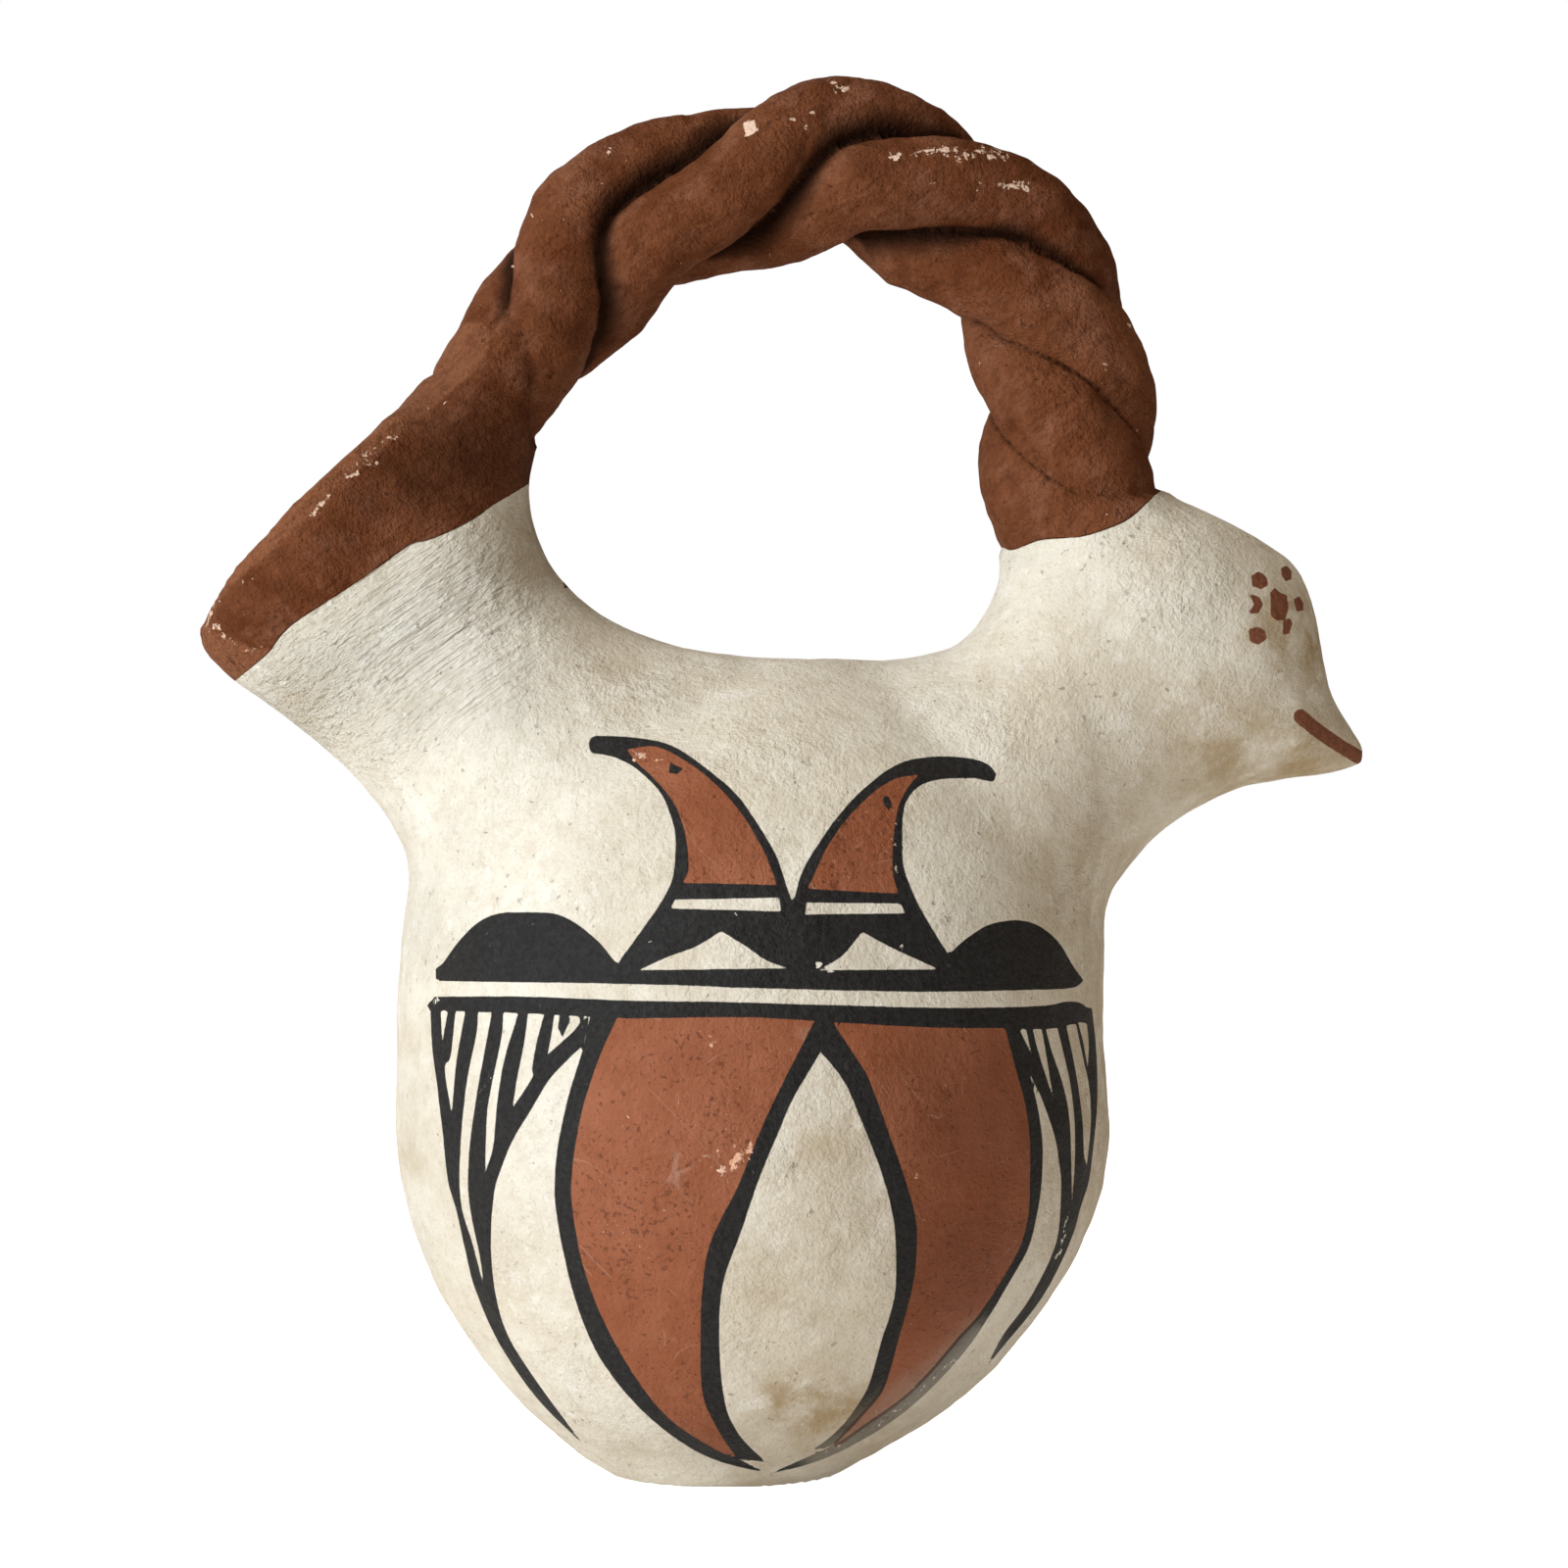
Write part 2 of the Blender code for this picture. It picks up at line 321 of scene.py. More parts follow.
@dataclass
class FineSkin:
    """A skin of four-cornered faces, some of them split finer than the rest.

    Args:
        places: The corners.
        quads: The faces of four corners, a row of corner numbers each.
        bridges: The faces of more corners, which lie between fine faces and coarse ones.
    """

    places: Numbers
    quads: Whole
    bridges: list[list[int]] = field(default_factory=list)

    def split(self, chosen: Truths) -> "FineSkin":
        """Splits the chosen faces in four, from the middles of their sides to their own middle.

        A face beside them takes in the new corners on its sides. Faces that touch a bridge stay
        whole.

        Args:
            chosen: Whether to split each four-cornered face.

        Returns:
            The finer skin.
        """
        touched = np.unique([corner for face in self.bridges for corner in face])
        chosen = chosen & ~np.isin(self.quads, touched).any(axis=1)
        count = len(self.places)
        sides = np.sort(np.stack((self.quads, np.roll(self.quads, -1, axis=1)), axis=2), axis=2)
        keys, which = np.unique(sides[..., 0] * count + sides[..., 1], return_inverse=True)
        which = which.reshape(-1, 4)
        is_split = np.zeros(len(keys), bool)
        is_split[which[chosen].ravel()] = True
        middle = np.full(len(keys), -1)
        middle[is_split] = count + np.arange(is_split.sum())
        ends = np.stack((keys // count, keys % count), axis=1)[is_split]
        centre = count + len(ends) + np.arange(chosen.sum())
        corners, middles = self.quads[chosen], middle[which[chosen]]
        small = [
            np.stack((corners[:, i], middles[:, i], centre, middles[:, i - 1]), axis=1) for i in range(4)
        ]
        rest, rest_middles = self.quads[~chosen], middle[which[~chosen]]
        whole = (rest_middles < 0).all(axis=1)
        slots = np.stack((rest[~whole], rest_middles[~whole]), axis=2).reshape(-1, 8)
        return FineSkin(
            np.vstack([self.places, self.places[ends].mean(axis=1), self.places[corners].mean(axis=1)]),
            np.vstack([rest[whole], *small]),
            self.bridges + [row[row >= 0].tolist() for row in slots],
        )

    def over_faces(self, at_corners: Truths) -> Truths:
        """Whether any corner of each four-cornered face is marked."""
        return at_corners[self.quads].any(axis=1)

    def skin(self) -> Skin:
        """The same skin, ready to be put into the scene."""
        return Skin(self.places, self.quads.tolist() + self.bridges)


def settle(obj: Object) -> None:
    """Keeps what the object's modifiers make as its own mesh."""
    graph = bpy.context.evaluated_depsgraph_get()
    made = bpy.data.meshes.new_from_object(obj.evaluated_get(graph))
    obj.modifiers.clear()
    obj.data = made


def fuse(obj: Object, cell: float, ease_steps: int) -> None:
    """Joins overlapping forms into one closed skin, and eases the hollows where they meet.

    Args:
        obj: The object that holds the forms.
        cell: Size of the new skin's faces.
        ease_steps: How often each corner is moved half way to the mean of its neighbours.
    """
    remesh = obj.modifiers.new("fuse", "REMESH")
    remesh.mode = "VOXEL"
    remesh.voxel_size = cell
    ease = obj.modifiers.new("ease", "SMOOTH")
    ease.factor = 0.5
    ease.iterations = ease_steps
    settle(obj)


def oval_skin(run: Numbers, inset: float, points: int, least_share: float = 0.1) -> Skin:
    """A closed skin over oval sections across the bird, each between two points of its side view.

    A section at turn a lies at its centre plus its long half times the cosine of a, in the side
    view, and plus its half depth times the sine of a, across the bird.

    Args:
        run: For each section its upper x and z, its lower x and z, and its half depth.
        inset: How far each section is drawn in all round.
        points: Points round a section.
        least_share: The share of each half that always stays.

    Returns:
        The skin.
    """
    half = (run[:, 0:2] - run[:, 2:4]) / 2
    centre = (run[:, 0:2] + run[:, 2:4]) / 2
    length = np.linalg.norm(half, axis=1)
    half *= (np.maximum(length - inset, length * least_share) / length)[:, None]
    depth = np.maximum(run[:, 4] - inset, run[:, 4] * least_share)
    turn = np.linspace(0, 2 * np.pi, points, endpoint=False)
    rings = np.empty((len(run), points, 3))
    rings[..., 0] = centre[:, :1] + half[:, :1] * np.cos(turn)
    rings[..., 1] = depth[:, None] * np.sin(turn)
    rings[..., 2] = centre[:, 1:] + half[:, 1:] * np.cos(turn)
    return Skin.over_rings(rings)


@dataclass(frozen=True)
class RibbedForm:
    """A form over ribs, which its oval sections run smoothly between.

    Args:
        ribs: For each rib its upper end, lower end and half depth, in thousandths.
        steps: Sections from rib to rib.
        points: Points round a section.
    """

    ribs: tuple[tuple[Pixel, Pixel, float], ...]
    steps: int = 12
    points: int = 120

    def skin(self, inset: float = 0.0, beyond: float = 0.0) -> Skin:
        """The form's skin.

        Args:
            inset: How far each section is drawn in all round.
            beyond: How far the form is carried on past its last rib.

        Returns:
            A closed skin.
        """
        rows = placed([(*upper, *lower, depth) for upper, lower, depth in self.ribs])
        if beyond:
            step = rows[-1, :4] - rows[-2, :4]
            onward = np.array((step[0] + step[2], step[1] + step[3]))
            onward *= beyond / np.linalg.norm(onward)
            rows = np.vstack([rows, rows[-1] + np.array((*onward, *onward, 0))])
        return oval_skin(smooth_rows(rows, self.steps), inset, self.points)


@dataclass(frozen=True)
class BodyForm:
    """The round body, as level oval sections from under the foot to the crown of its back.

    Args:
        ribs: Height, tail side, breast side and half depth of each rib, in thousandths.
        top: Place of the crown, in thousandths.
        foot: Place of the middle of the foot, in thousandths.
        foot_core_share: Radius of the body under the foot's level, as a share of the foot's.
        steps: Sections from rib to rib.
        points: Points round a section.
    """

    ribs: tuple[tuple[float, float, float, float], ...] = (
        (28, -163, 92, 124),
        (70, -206, 146, 170),
        (127, -246, 192, 211),
        (183, -267, 223, 236),
        (240, -278, 235, 247),
        (310, -277, 231, 246),
        (380, -271, 231, 237),
        (440, -262, 226, 220),
        (500, -225, 196, 186),
        (545, -150, 135, 140),
        (575, -50, 70, 75),
    )
    top: Pixel = (10, 583)
    foot: float = -42
    foot_core_share: float = 0.55
    steps: int = 14
    points: int = 160

    def skin(self, inset: float = 0.0, floor: float = -math.inf) -> Skin:
        """The body's skin.

        Args:
            inset: How far each section is drawn in all round.
            floor: Nothing lies below this height.

        Returns:
            A closed skin.
        """
        foot_x = float(placed(self.foot))
        core = FOOT_RADIUS * self.foot_core_share
        top_x, top_z = placed(self.top)
        cap_half = 2 * WALL
        rows = np.vstack([
            (-WALL, foot_x - core, foot_x + core, core),
            (0.0, foot_x - FOOT_RADIUS, foot_x + FOOT_RADIUS, FOOT_RADIUS),
            placed(self.ribs),
            (top_z, top_x - cap_half, top_x + cap_half, cap_half),
        ])
        run = smooth_rows(rows, self.steps)
        run = run[(run[:, 0] <= top_z - inset) & (run[:, 0] >= floor)]
        height, back, breast, depth = run.T
        return oval_skin(np.stack((breast, height, back, height, depth), axis=1), inset, self.points)


@dataclass(frozen=True)
class TwistedHandle:
    """The handle: three round coils of clay, twisted together along one line.

    Args:
        stations: For each place along the line its x and z in thousandths, the degrees that the
            twist has turned, and two hundredths of a coil's radius: how far the coils stand off
            the line, and how full they are.
        crevices: For shares of the way along the line, what lies between the coils there: how
        much clay fills the crevice, how deep and how wide a line is cut in it, how dark its
        painted shade and sooty dirt are, and how wide that dark is. Fill, depth and widths
        are in millimetres.
        rounds: How often a place is moved onto the coils.
        steepest: Least squared slope that a move allows for, deep between two coils.
        covered: Gaps from which the clay of the handle's roots covers the coils.
        web: How far off the coils the fused skin may span a crevice.
        free_of_roots: Shares of the line between which that skin isn't the roots' own clay.
        full_dark: The share of the painted shade's width that is wholly dark.
        lit_share: How wide the painted shade is on the coil that goes over, as a share of the other's.
        over: How much nearer the viewer a coil's middle lies where it goes fully over another.
    """

    stations: tuple[tuple[float, float, float, float, float], ...] = (
        (-210, 775, -78, 35, 100),
        (-166, 832, -8, 66, 99),
        (-120, 888, 68, 92, 102),
        (-43, 919, 110, 102, 99),
        (41, 938, 192, 103, 99),
        (118, 907, 267, 103, 99),
        (163, 874, 308, 100, 100),
        (184, 838, 350, 93, 102),
        (199, 800, 402, 85, 108),
        (205, 760, 455, 75, 113),
        (206, 718, 513, 65, 118),
        (212, 672, 578, 55, 120),
    )
    coils: int = 3
    steps: int = 16
    points: int = 56
    crevices: tuple[tuple[float, ...], ...] = (
        (0.00, 1.60, 0.0, 0.60, 0.00, 1.0),
        (0.04, 1.20, 0.1, 0.60, 0.55, 1.5),
        (0.08, 0.70, 0.2, 0.60, 0.90, 3.2),
        (0.15, 0.30, 0.4, 0.60, 1.00, 5.2),
        (0.25, 0.25, 0.5, 0.60, 1.00, 5.8),
        (0.50, 0.25, 0.5, 0.60, 1.00, 5.4),
        (0.58, 0.30, 0.5, 0.50, 0.95, 2.6),
        (0.64, 0.35, 0.5, 0.40, 0.90, 1.0),
        (0.78, 0.60, 0.6, 0.30, 0.85, 0.5),
        (0.88, 1.00, 0.4, 0.30, 0.40, 0.5),
        (0.95, 1.50, 0.0, 0.40, 0.00, 0.6),
    )
    rounds: int = 12
    steepest: float = 0.4
    covered: tuple[float, float] = (0.0009, 0.0018)
    web: float = 0.0016
    free_of_roots: tuple[float, float, float, float] = (0.08, 0.15, 0.84, 0.92)
    lit_share: float = 0.36
    over: float = 0.0025
    full_dark: float = 0.15

    def line_of(self, index: int) -> tuple[Numbers, Numbers]:
        """The middle line of one coil, and its radius along it.

        The coil's middle lies off the handle's line by the swing: outward in the side view by the
        sine of the turn, and towards the viewer by its cosine.

        Args:
            index: Which coil, from 0. Each starts a third of a turn behind the last.

        Returns:
            The places of the line, one row each, and the radii.
        """
        run = smooth_rows(self.stations, self.steps)
        line = placed(run[:, :2])
        turn = np.radians(run[:, 2]) - index * 2 * np.pi / self.coils
        radius = COIL_THICKNESS / 2 * run[:, 4] / 100
        swing = radius * run[:, 3] / 100
        along = np.gradient(line, axis=0)
        along /= np.linalg.norm(along, axis=1)[:, None]
        middle = np.stack((
            line[:, 0] - along[:, 1] * swing * np.sin(turn),
            -swing * np.cos(turn),
            line[:, 1] + along[:, 0] * swing * np.sin(turn),
        ), axis=1)
        return middle, radius

    def coil(self, index: int) -> Skin:
        """One coil: a circle carried along its middle line, square to the way it heads.

        Args:
            index: Which coil, from 0.

        Returns:
            A closed skin.
        """
        middle, radius = self.line_of(index)
        heading = np.gradient(middle, axis=0)
        heading /= np.linalg.norm(heading, axis=1)[:, None]
        side = np.cross(heading, (0, 1, 0))
        side /= np.linalg.norm(side, axis=1)[:, None]
        up = np.cross(side, heading)
        angle = np.linspace(0, 2 * np.pi, self.points, endpoint=False)[None, :, None]
        ring = np.cos(angle) * side[:, None] + np.sin(angle) * up[:, None]
        return Skin.over_rings(middle[:, None] + radius[:, None, None] * ring)

    def skin(self) -> Skin:
        """All the coils, still overlapping."""
        return Skin.together([self.coil(index) for index in range(self.coils)])

    def gaps(self, places: Numbers) -> tuple[Numbers, Numbers, Numbers]:
        """How far places lie from each coil.

        A place's gap to a coil is its distance from the nearest place of the coil's middle line,
        less the radius there.

        Args:
            places: Places, one row each.

        Returns:
            For each coil the gaps, the directions out from its middle line, and the shares of
            the line at which the nearest places lie.
        """
        gaps, ways, shares = [], [], []
        for index in range(self.coils):
            middle, radius = self.line_of(index)
            home = middle.mean(axis=0)
            spots, line = places - home, middle - home
            squares = (spots**2).sum(axis=1)[:, None] + (line**2).sum(axis=1) - 2 * spots @ line.T
            nearest_spot = squares.argmin(axis=1)
            way = places - middle[nearest_spot]
            length = np.linalg.norm(way, axis=1)
            gaps.append(length - radius[nearest_spot])
            ways.append(way / length[:, None])
            shares.append(nearest_spot / (len(middle) - 1))
        return np.array(gaps), np.array(ways), np.array(shares)

    def least_gap(self, places: Numbers) -> Numbers:
        """How far each place lies from the nearest coil."""
        return self.gaps(places)[0].min(axis=0)

    def beside_crevice(self, places: Numbers, reach: float) -> Truths:
        """Whether each place lies at a crevice: off the roots, and about as near to two coils.

        Args:
            places: Places, one row each.
            reach: How much farther the next coil may lie.

        Returns:
            A truth for each place.
        """
        gap, _, share = self.gaps(places)
        first, apart = self._least_and_apart(gap)
        off_roots = self._off_roots(gap, share) > 0
        return (first < self.web + self.covered[0]) & (apart < reach) & off_roots

    def _least_and_apart(self, gap: Numbers) -> tuple[Numbers, Numbers]:
        """Each place's least gap, and how much larger the next one is."""
        first, second = np.sort(gap, axis=0)[:2]
        return first, second - first

    def _nearest_share(self, gap: Numbers, share: Numbers) -> Numbers:
        """The share of the line at which each place lies, taken from its nearest coil."""
        return np.take_along_axis(share, gap.argmin(axis=0)[None], axis=0)[0]

    def _off_roots(self, gap: Numbers, share: Numbers) -> Numbers:
        """1 for places between the handle's two roots, falling to 0 towards them."""
        at = self._nearest_share(gap, share)
        low, from_low, to_high, high = self.free_of_roots
        return eased_step(at, low, from_low) * (1 - eased_step(at, to_high, high))

    def _between(self, gap: Numbers, share: Numbers) -> Numbers:
        """What the table of crevices gives at each place: a row for each of its columns."""
        along, *rows = np.array(self.crevices).T
        at = self._nearest_share(gap, share)
        return np.array([np.interp(at, along, row) for row in rows])

    def bareness(self, places: Numbers) -> Numbers:
        """1 on the bare coils and on the skin over their crevices, 0 on the clay of the roots."""
        gap, _, share = self.gaps(places)
        first, apart = self._least_and_apart(gap)
        web = self.web * bell(apart, self.web) * self._off_roots(gap, share)
        return 1 - eased_step(first - web, *self.covered)

    def onto_coils(self, places: Numbers, bare: Numbers) -> Numbers:
        """Moves places onto the rounds of the coils, and down into the crevices between them.

        The gaps to the three coils are blended by their smooth least value, over the fill. A
        place moves against that value's slope, by the value over the slope's square.

        Args:
            places: Corners of the skin, one row each.
            bare: How much of the move each makes.

        Returns:
            The new places.
        """
        gap, way, share = self.gaps(places)
        fill = self._between(gap, share)[0] * MILLIMETRE
        weight = np.exp(-(gap - gap.min(axis=0)) / fill)
        least = gap.min(axis=0) - fill * np.log(weight.sum(axis=0))
        weight /= weight.sum(axis=0)
        out = (weight[..., None] * way).sum(axis=0)
        slope = np.maximum((out**2).sum(axis=1), self.steepest)
        return places - out * (bare * least / slope)[:, None]

    def cut(self, places: Numbers) -> Numbers:
        """Depth in metres of the line cut at each place, where its two least gaps are nearly equal."""
        gap, _, share = self.gaps(places)
        _, depth, width, *_ = self._between(gap, share)
        apart = self._least_and_apart(gap)[1]
        return depth * bell(apart, width * MILLIMETRE) * MILLIMETRE

    def darkness(self, places: Numbers) -> Numbers:
        """How dark each place is with painted shade and sooty dirt, from how nearly as close the
        next coil is.

        Of the two coils at a crevice the one whose middle lies farther from the viewer goes
        under, and its painted shade is the wider. A middle lies a gap and a radius in from the place.

        Args:
            places: Corners of the skin, one row each.

        Returns:
            0 to 1 for each place.
        """
        gap, way, share = self.gaps(places)
        order = np.argsort(gap, axis=0)[:2]
        first, second = np.take_along_axis(gap, order, axis=0)
        facing = np.clip(places[:, 1] / self.over, -1, 1)
        middles = facing * (places[:, 1] - way[..., 1] * (gap + COIL_THICKNESS / 2))
        own, other = np.take_along_axis(middles, order, axis=0)
        under = eased_step(other - own, -self.over, self.over)
        *_, shade_and_soot_strength, reach = self._between(gap, share)
        reach = reach * (self.lit_share + (1 - self.lit_share) * under)
        apart = (second - first) / (reach * MILLIMETRE)
        # Painted shade with some sooty dirt: darkest where the next coil is nearly as close, and wider on the
        # coil that goes under.
        return shade_and_soot_strength * (1 - eased_step(first, *self.covered)) * (1 - eased_step(apart, self.full_dark, 1.0))


TAIL = RibbedForm((
    ((0, 583), (-196, 352), 170),
    ((-84, 595), (-253, 402), 155),
    ((-133, 617), (-274, 452), 130),
    ((-164, 645), (-297, 485), 112),
    ((-178, 677), (-330, 519), 103),
    ((-200, 726), (-372, 552), 101),
    ((-231, 757), (-401, 573), 104),
    ((-262, 774), (-423, 603), 109),
))
NECK_AND_HEAD_RIBS = (
    ((28, 581), (184, 296), 150),
    ((93, 584), (216, 370), 141),
    ((132, 598), (233, 412), 126),
    ((153, 631), (248, 433), 114),
    ((170, 662), (267, 455), 106),
    ((212, 690), (294, 474), 100),
    ((269, 700), (327, 491), 97),
    ((311, 685), (353, 496), 90),
    ((346, 667), (371, 498), 77),
    ((371, 646), (384, 500), 58),
    ((382, 613), (392, 500), 43),
    ((388, 578), (399, 501), 33),
    ((396, 555), (406, 502), 25),
    ((408, 537), (414, 503), 17),
    ((422, 520), (424, 507), 6),
)
HOLLOW_NECK_RIBS = 8
NECK_AND_HEAD = RibbedForm(NECK_AND_HEAD_RIBS)
NECK_HOLLOW = RibbedForm(NECK_AND_HEAD_RIBS[:HOLLOW_NECK_RIBS])
TAIL_STEM = RibbedForm((
    ((-295, 726), (-181, 662), 75),
    ((-274, 765), (-181, 712), 68),
    ((-241, 803), (-171, 754), 60),
    ((-220, 826), (-147, 791), 54),
    ((-199, 858), (-138, 824), 48),
    ((-180, 891), (-131, 863), 40),
    ((-145, 936), (-108, 905), 30),
    ((-101, 969), (-76, 937), 20),
))
NECK_STEM = RibbedForm((
    ((158, 610), (310, 640), 80),
    ((155, 668), (292, 690), 68),
    ((152, 700), (270, 708), 58),
    ((160, 735), (256, 742), 46),
))


def squares_off(points: Numbers, start: Numbers, end: Numbers) -> Numbers:
    """Squared distance of each point from the straight side between two others."""
    side = end - start
    from_start = points - start
    along = np.clip(from_start @ side / max(side @ side, TINY), 0, 1)
    return ((from_start - along[:, None] * side) ** 2).sum(axis=1)


@dataclass(frozen=True)
class Outline:
    """A closed outline in picture points, run smoothly through the points of each of its sides.

    Args:
        sides: Runs of points, end to end round the outline. A side of two points is straight.
        steps: Steps from point to point.
        reach: Farthest distance that is worked out.
    """

    sides: tuple[Run, ...]
    steps: int = 5
    reach: float = 40.0

    def gap(self, points: Numbers) -> Numbers:
        """Distance of each point from the outline, below zero inside it.

        The distance is the least to any side. A point is inside if a level line from it crosses
        an odd number of sides.

        Args:
            points: Picture points, one row each.

        Returns:
            One distance for each point, in picture points, at most the reach outside.
        """
        corners = np.vstack([smooth_rows(side, self.steps if len(side) > 2 else 1) for side in self.sides])
        low, high = corners.min(axis=0) - self.reach, corners.max(axis=0) + self.reach
        near = ((points > low) & (points < high)).all(axis=1)
        here = points[near]
        least = np.full(len(here), self.reach**2)
        inside = np.zeros(len(here), bool)
        for start, end in zip(corners, np.roll(corners, -1, axis=0)):
            least = np.minimum(least, squares_off(here, start, end))
            spans = (start[1] > here[:, 1]) != (end[1] > here[:, 1])
            across, drop = end - start
            inside ^= spans & (here[:, 0] < start[0] + across * (here[:, 1] - start[1]) / (drop or TINY))
        gaps = np.full(len(points), self.reach)
        gaps[near] = np.where(inside, -1, 1) * np.sqrt(least)
        return gaps


@dataclass(frozen=True)
class Line:
    """A brush line of one width through picture points."""

    points: Run
    width: float = 0.0
    steps: int = 5

    def gap(self, points: Numbers) -> Numbers:
        """Distance of each point from the line's edge, below zero inside."""
        run = smooth_rows(self.points, self.steps)
        squares = [squares_off(points, start, end) for start, end in zip(run, run[1:])]
        return np.sqrt(np.min(squares, axis=0)) - self.width / 2


Mark = Outline | Line


def nearest(marks: list[Mark], points: Numbers) -> Numbers:
    """Distance of each point from the nearest of several marks, below zero inside any of them."""
    return np.min([mark.gap(points) for mark in marks], axis=0)


def thorn(top: tuple[Pixel, Pixel], right: Run, tip: Pixel, left: Run) -> Outline:
    """A bare sliver between two strokes: its level top, down its right side, its tip, up its left."""
    return Outline((top, (top[1], *right, tip), (tip, *left, top[0])))


def angular(*corners: Pixel) -> Outline:
    """A mark with straight sides through its corners."""
    return Outline(tuple(zip(corners, (*corners[1:], corners[0]))))


class Design:
    """The painted design on the body, in picture points.

    Two horns rise from a block between two humps, over a double band. Below the band two broad
    leaves stand either side of a narrow bare one, with a hatched thorn at each end.
    """

    under_stroke = 3.0
    horns_box = ((595, 745), (1022, 925))
    left_horn_back = (
        (603, 753), (612, 751), (650, 753), (686, 761), (722, 785), (752, 811), (776, 845), (793, 875),
        (803, 905), (808, 918)
    )
    right_horn_back = (
        (810, 919), (818, 891), (834, 863), (859, 828), (887, 800), (918, 779), (953, 772), (990, 774),
        (1008, 780), (1017, 790)
    )
    right_horn_tip = ((1017, 790), (1014, 797), (1008, 797), (995, 794))
    right_horn_belly = (
        (995, 794), (962, 795), (937, 803), (923, 823), (921, 854), (922, 882), (929, 905), (945, 937),
        (968, 974)
    )
    left_horn_belly = (
        (630, 984), (655, 949), (674, 922), (685, 900), (689, 875), (689, 851), (682, 825), (671, 805),
        (650, 785), (630, 774), (616, 770)
    )
    left_horn_tip = ((616, 770), (604, 768), (601, 760), (603, 753))
    line_above_stripe = (
        (1106, 1001), (1094, 1008), (1057, 1010), (938, 1012), (760, 1008), (710, 1006), (633, 1004),
        (445, 1001)
    )
    left_hump = (
        (445, 1001), (445, 987), (451, 984), (467, 962), (488, 941), (510, 932), (532, 931), (564, 932),
        (586, 941), (610, 960), (630, 984)
    )
    right_hump = (
        (968, 974), (987, 957), (1011, 943), (1037, 939), (1059, 944), (1080, 961), (1094, 984),
        (1106, 1001)
    )
    left_horn_fill = (
        ((640, 765), (670, 762), (705, 780), (735, 805), (760, 835), (780, 870), (793, 903)),
        ((793, 903), (697, 901)),
        ((697, 901), (703, 885), (699, 850), (688, 820), (668, 795), (650, 778), (640, 765)),
    )
    right_horn_fill = (
        ((938, 790), (908, 797), (876, 823), (848, 858), (824, 907)),
        ((824, 907), (917, 912)),
        ((917, 912), (911, 889), (912, 851), (917, 823), (927, 803), (938, 790)),
    )
    left_leaf_out = (
        (603, 1030), (596, 1066), (580, 1119), (570, 1165), (566, 1204), (568, 1240), (582, 1309),
        (603, 1368), (632, 1414), (675, 1457), (725, 1488), (785, 1504)
    )
    left_leaf_in = (
        (632, 1032), (628, 1042), (618, 1064), (604, 1100), (591, 1147), (583, 1208), (588, 1259),
        (599, 1305), (620, 1356), (649, 1406), (683, 1448), (730, 1479), (752, 1488)
    )
    left_leaf_right = (
        (836, 1033), (830, 1044), (803, 1097), (785, 1133), (765, 1181), (750, 1217), (725, 1267),
        (717, 1313), (715, 1364), (717, 1423), (734, 1461), (752, 1488)
    )
    bare_leaf_left = (
        (838, 1073), (811, 1118), (793, 1159), (775, 1202), (757, 1255), (738, 1309), (734, 1368),
        (740, 1431), (755, 1465), (782, 1492)
    )
    bare_leaf_right = (
        (838, 1073), (862, 1105), (880, 1146), (898, 1192), (910, 1235), (914, 1268), (913, 1322),
        (898, 1373), (887, 1412), (873, 1437), (853, 1461), (825, 1481), (782, 1492)
    )
    right_leaf_left = (
        (846, 1034), (852, 1046), (870, 1074), (887, 1102), (910, 1164), (926, 1210), (935, 1248),
        (935, 1286), (930, 1319), (918, 1363), (904, 1412), (889, 1435), (853, 1474)
    )
    right_leaf_in = (
        (1022, 1036), (1026, 1050), (1036, 1088), (1046, 1126), (1051, 1164), (1051, 1202), (1050, 1236),
        (1042, 1269), (1029, 1295), (1000, 1340), (979, 1363), (950, 1397), (922, 1425), (890, 1448),
        (853, 1474)
    )
    right_leaf_out = (
        (1038, 1030), (1050, 1092), (1059, 1130), (1064, 1168), (1063, 1206), (1059, 1236), (1051, 1269),
        (1038, 1295), (1005, 1350), (983, 1381), (955, 1412), (930, 1435), (899, 1458), (858, 1481),
        (822, 1495), (785, 1504)
    )
    band_top = (
        (443, 1017), (540, 1017), (640, 1021), (720, 1022), (760, 1023), (938, 1028), (1015, 1028),
        (1068, 1026), (1088, 1022), (1104, 1024), (1114, 1034)
    )
    band_foot = (
        (1114, 1034), (1098, 1043), (1063, 1047), (1015, 1049), (938, 1048), (850, 1043), (760, 1038),
        (640, 1039), (540, 1034), (443, 1030), (443, 1017)
    )
    left_thorn_out = (
        (439, 1024), (441, 1068), (446, 1107), (451, 1149), (457, 1204), (466, 1236), (480, 1299),
        (489, 1326), (510, 1372), (548, 1427), (595, 1474)
    )
    left_thorn_in = (
        (595, 1474), (548, 1410), (519, 1364), (506, 1322), (501, 1271), (504, 1220), (511, 1194),
        (524, 1162), (540, 1136), (559, 1104), (577, 1084), (596, 1066)
    )
    right_thorn_out = (
        (1114, 1028), (1118, 1062), (1120, 1104), (1119, 1138), (1115, 1176), (1111, 1206), (1103, 1231),
        (1096, 1257), (1082, 1290), (1066, 1320), (1048, 1345), (1026, 1371), (1006, 1396)
    )
    right_thorn_in = (
        (1006, 1396), (1023, 1363), (1045, 1334), (1058, 1312), (1071, 1286), (1080, 1257), (1083, 1210),
        (1081, 1189), (1076, 1159), (1063, 1121), (1050, 1092), (1038, 1040)
    )

    def red_fills(self) -> list[Mark]:
        """The two horns' fills and the two broad leaves."""
        return [
            Outline(self.left_horn_fill),
            Outline(self.right_horn_fill),
            Outline((self.left_leaf_in, self.left_leaf_right[::-1])),
            Outline((self.right_leaf_left, self.right_leaf_in[::-1])),
        ]

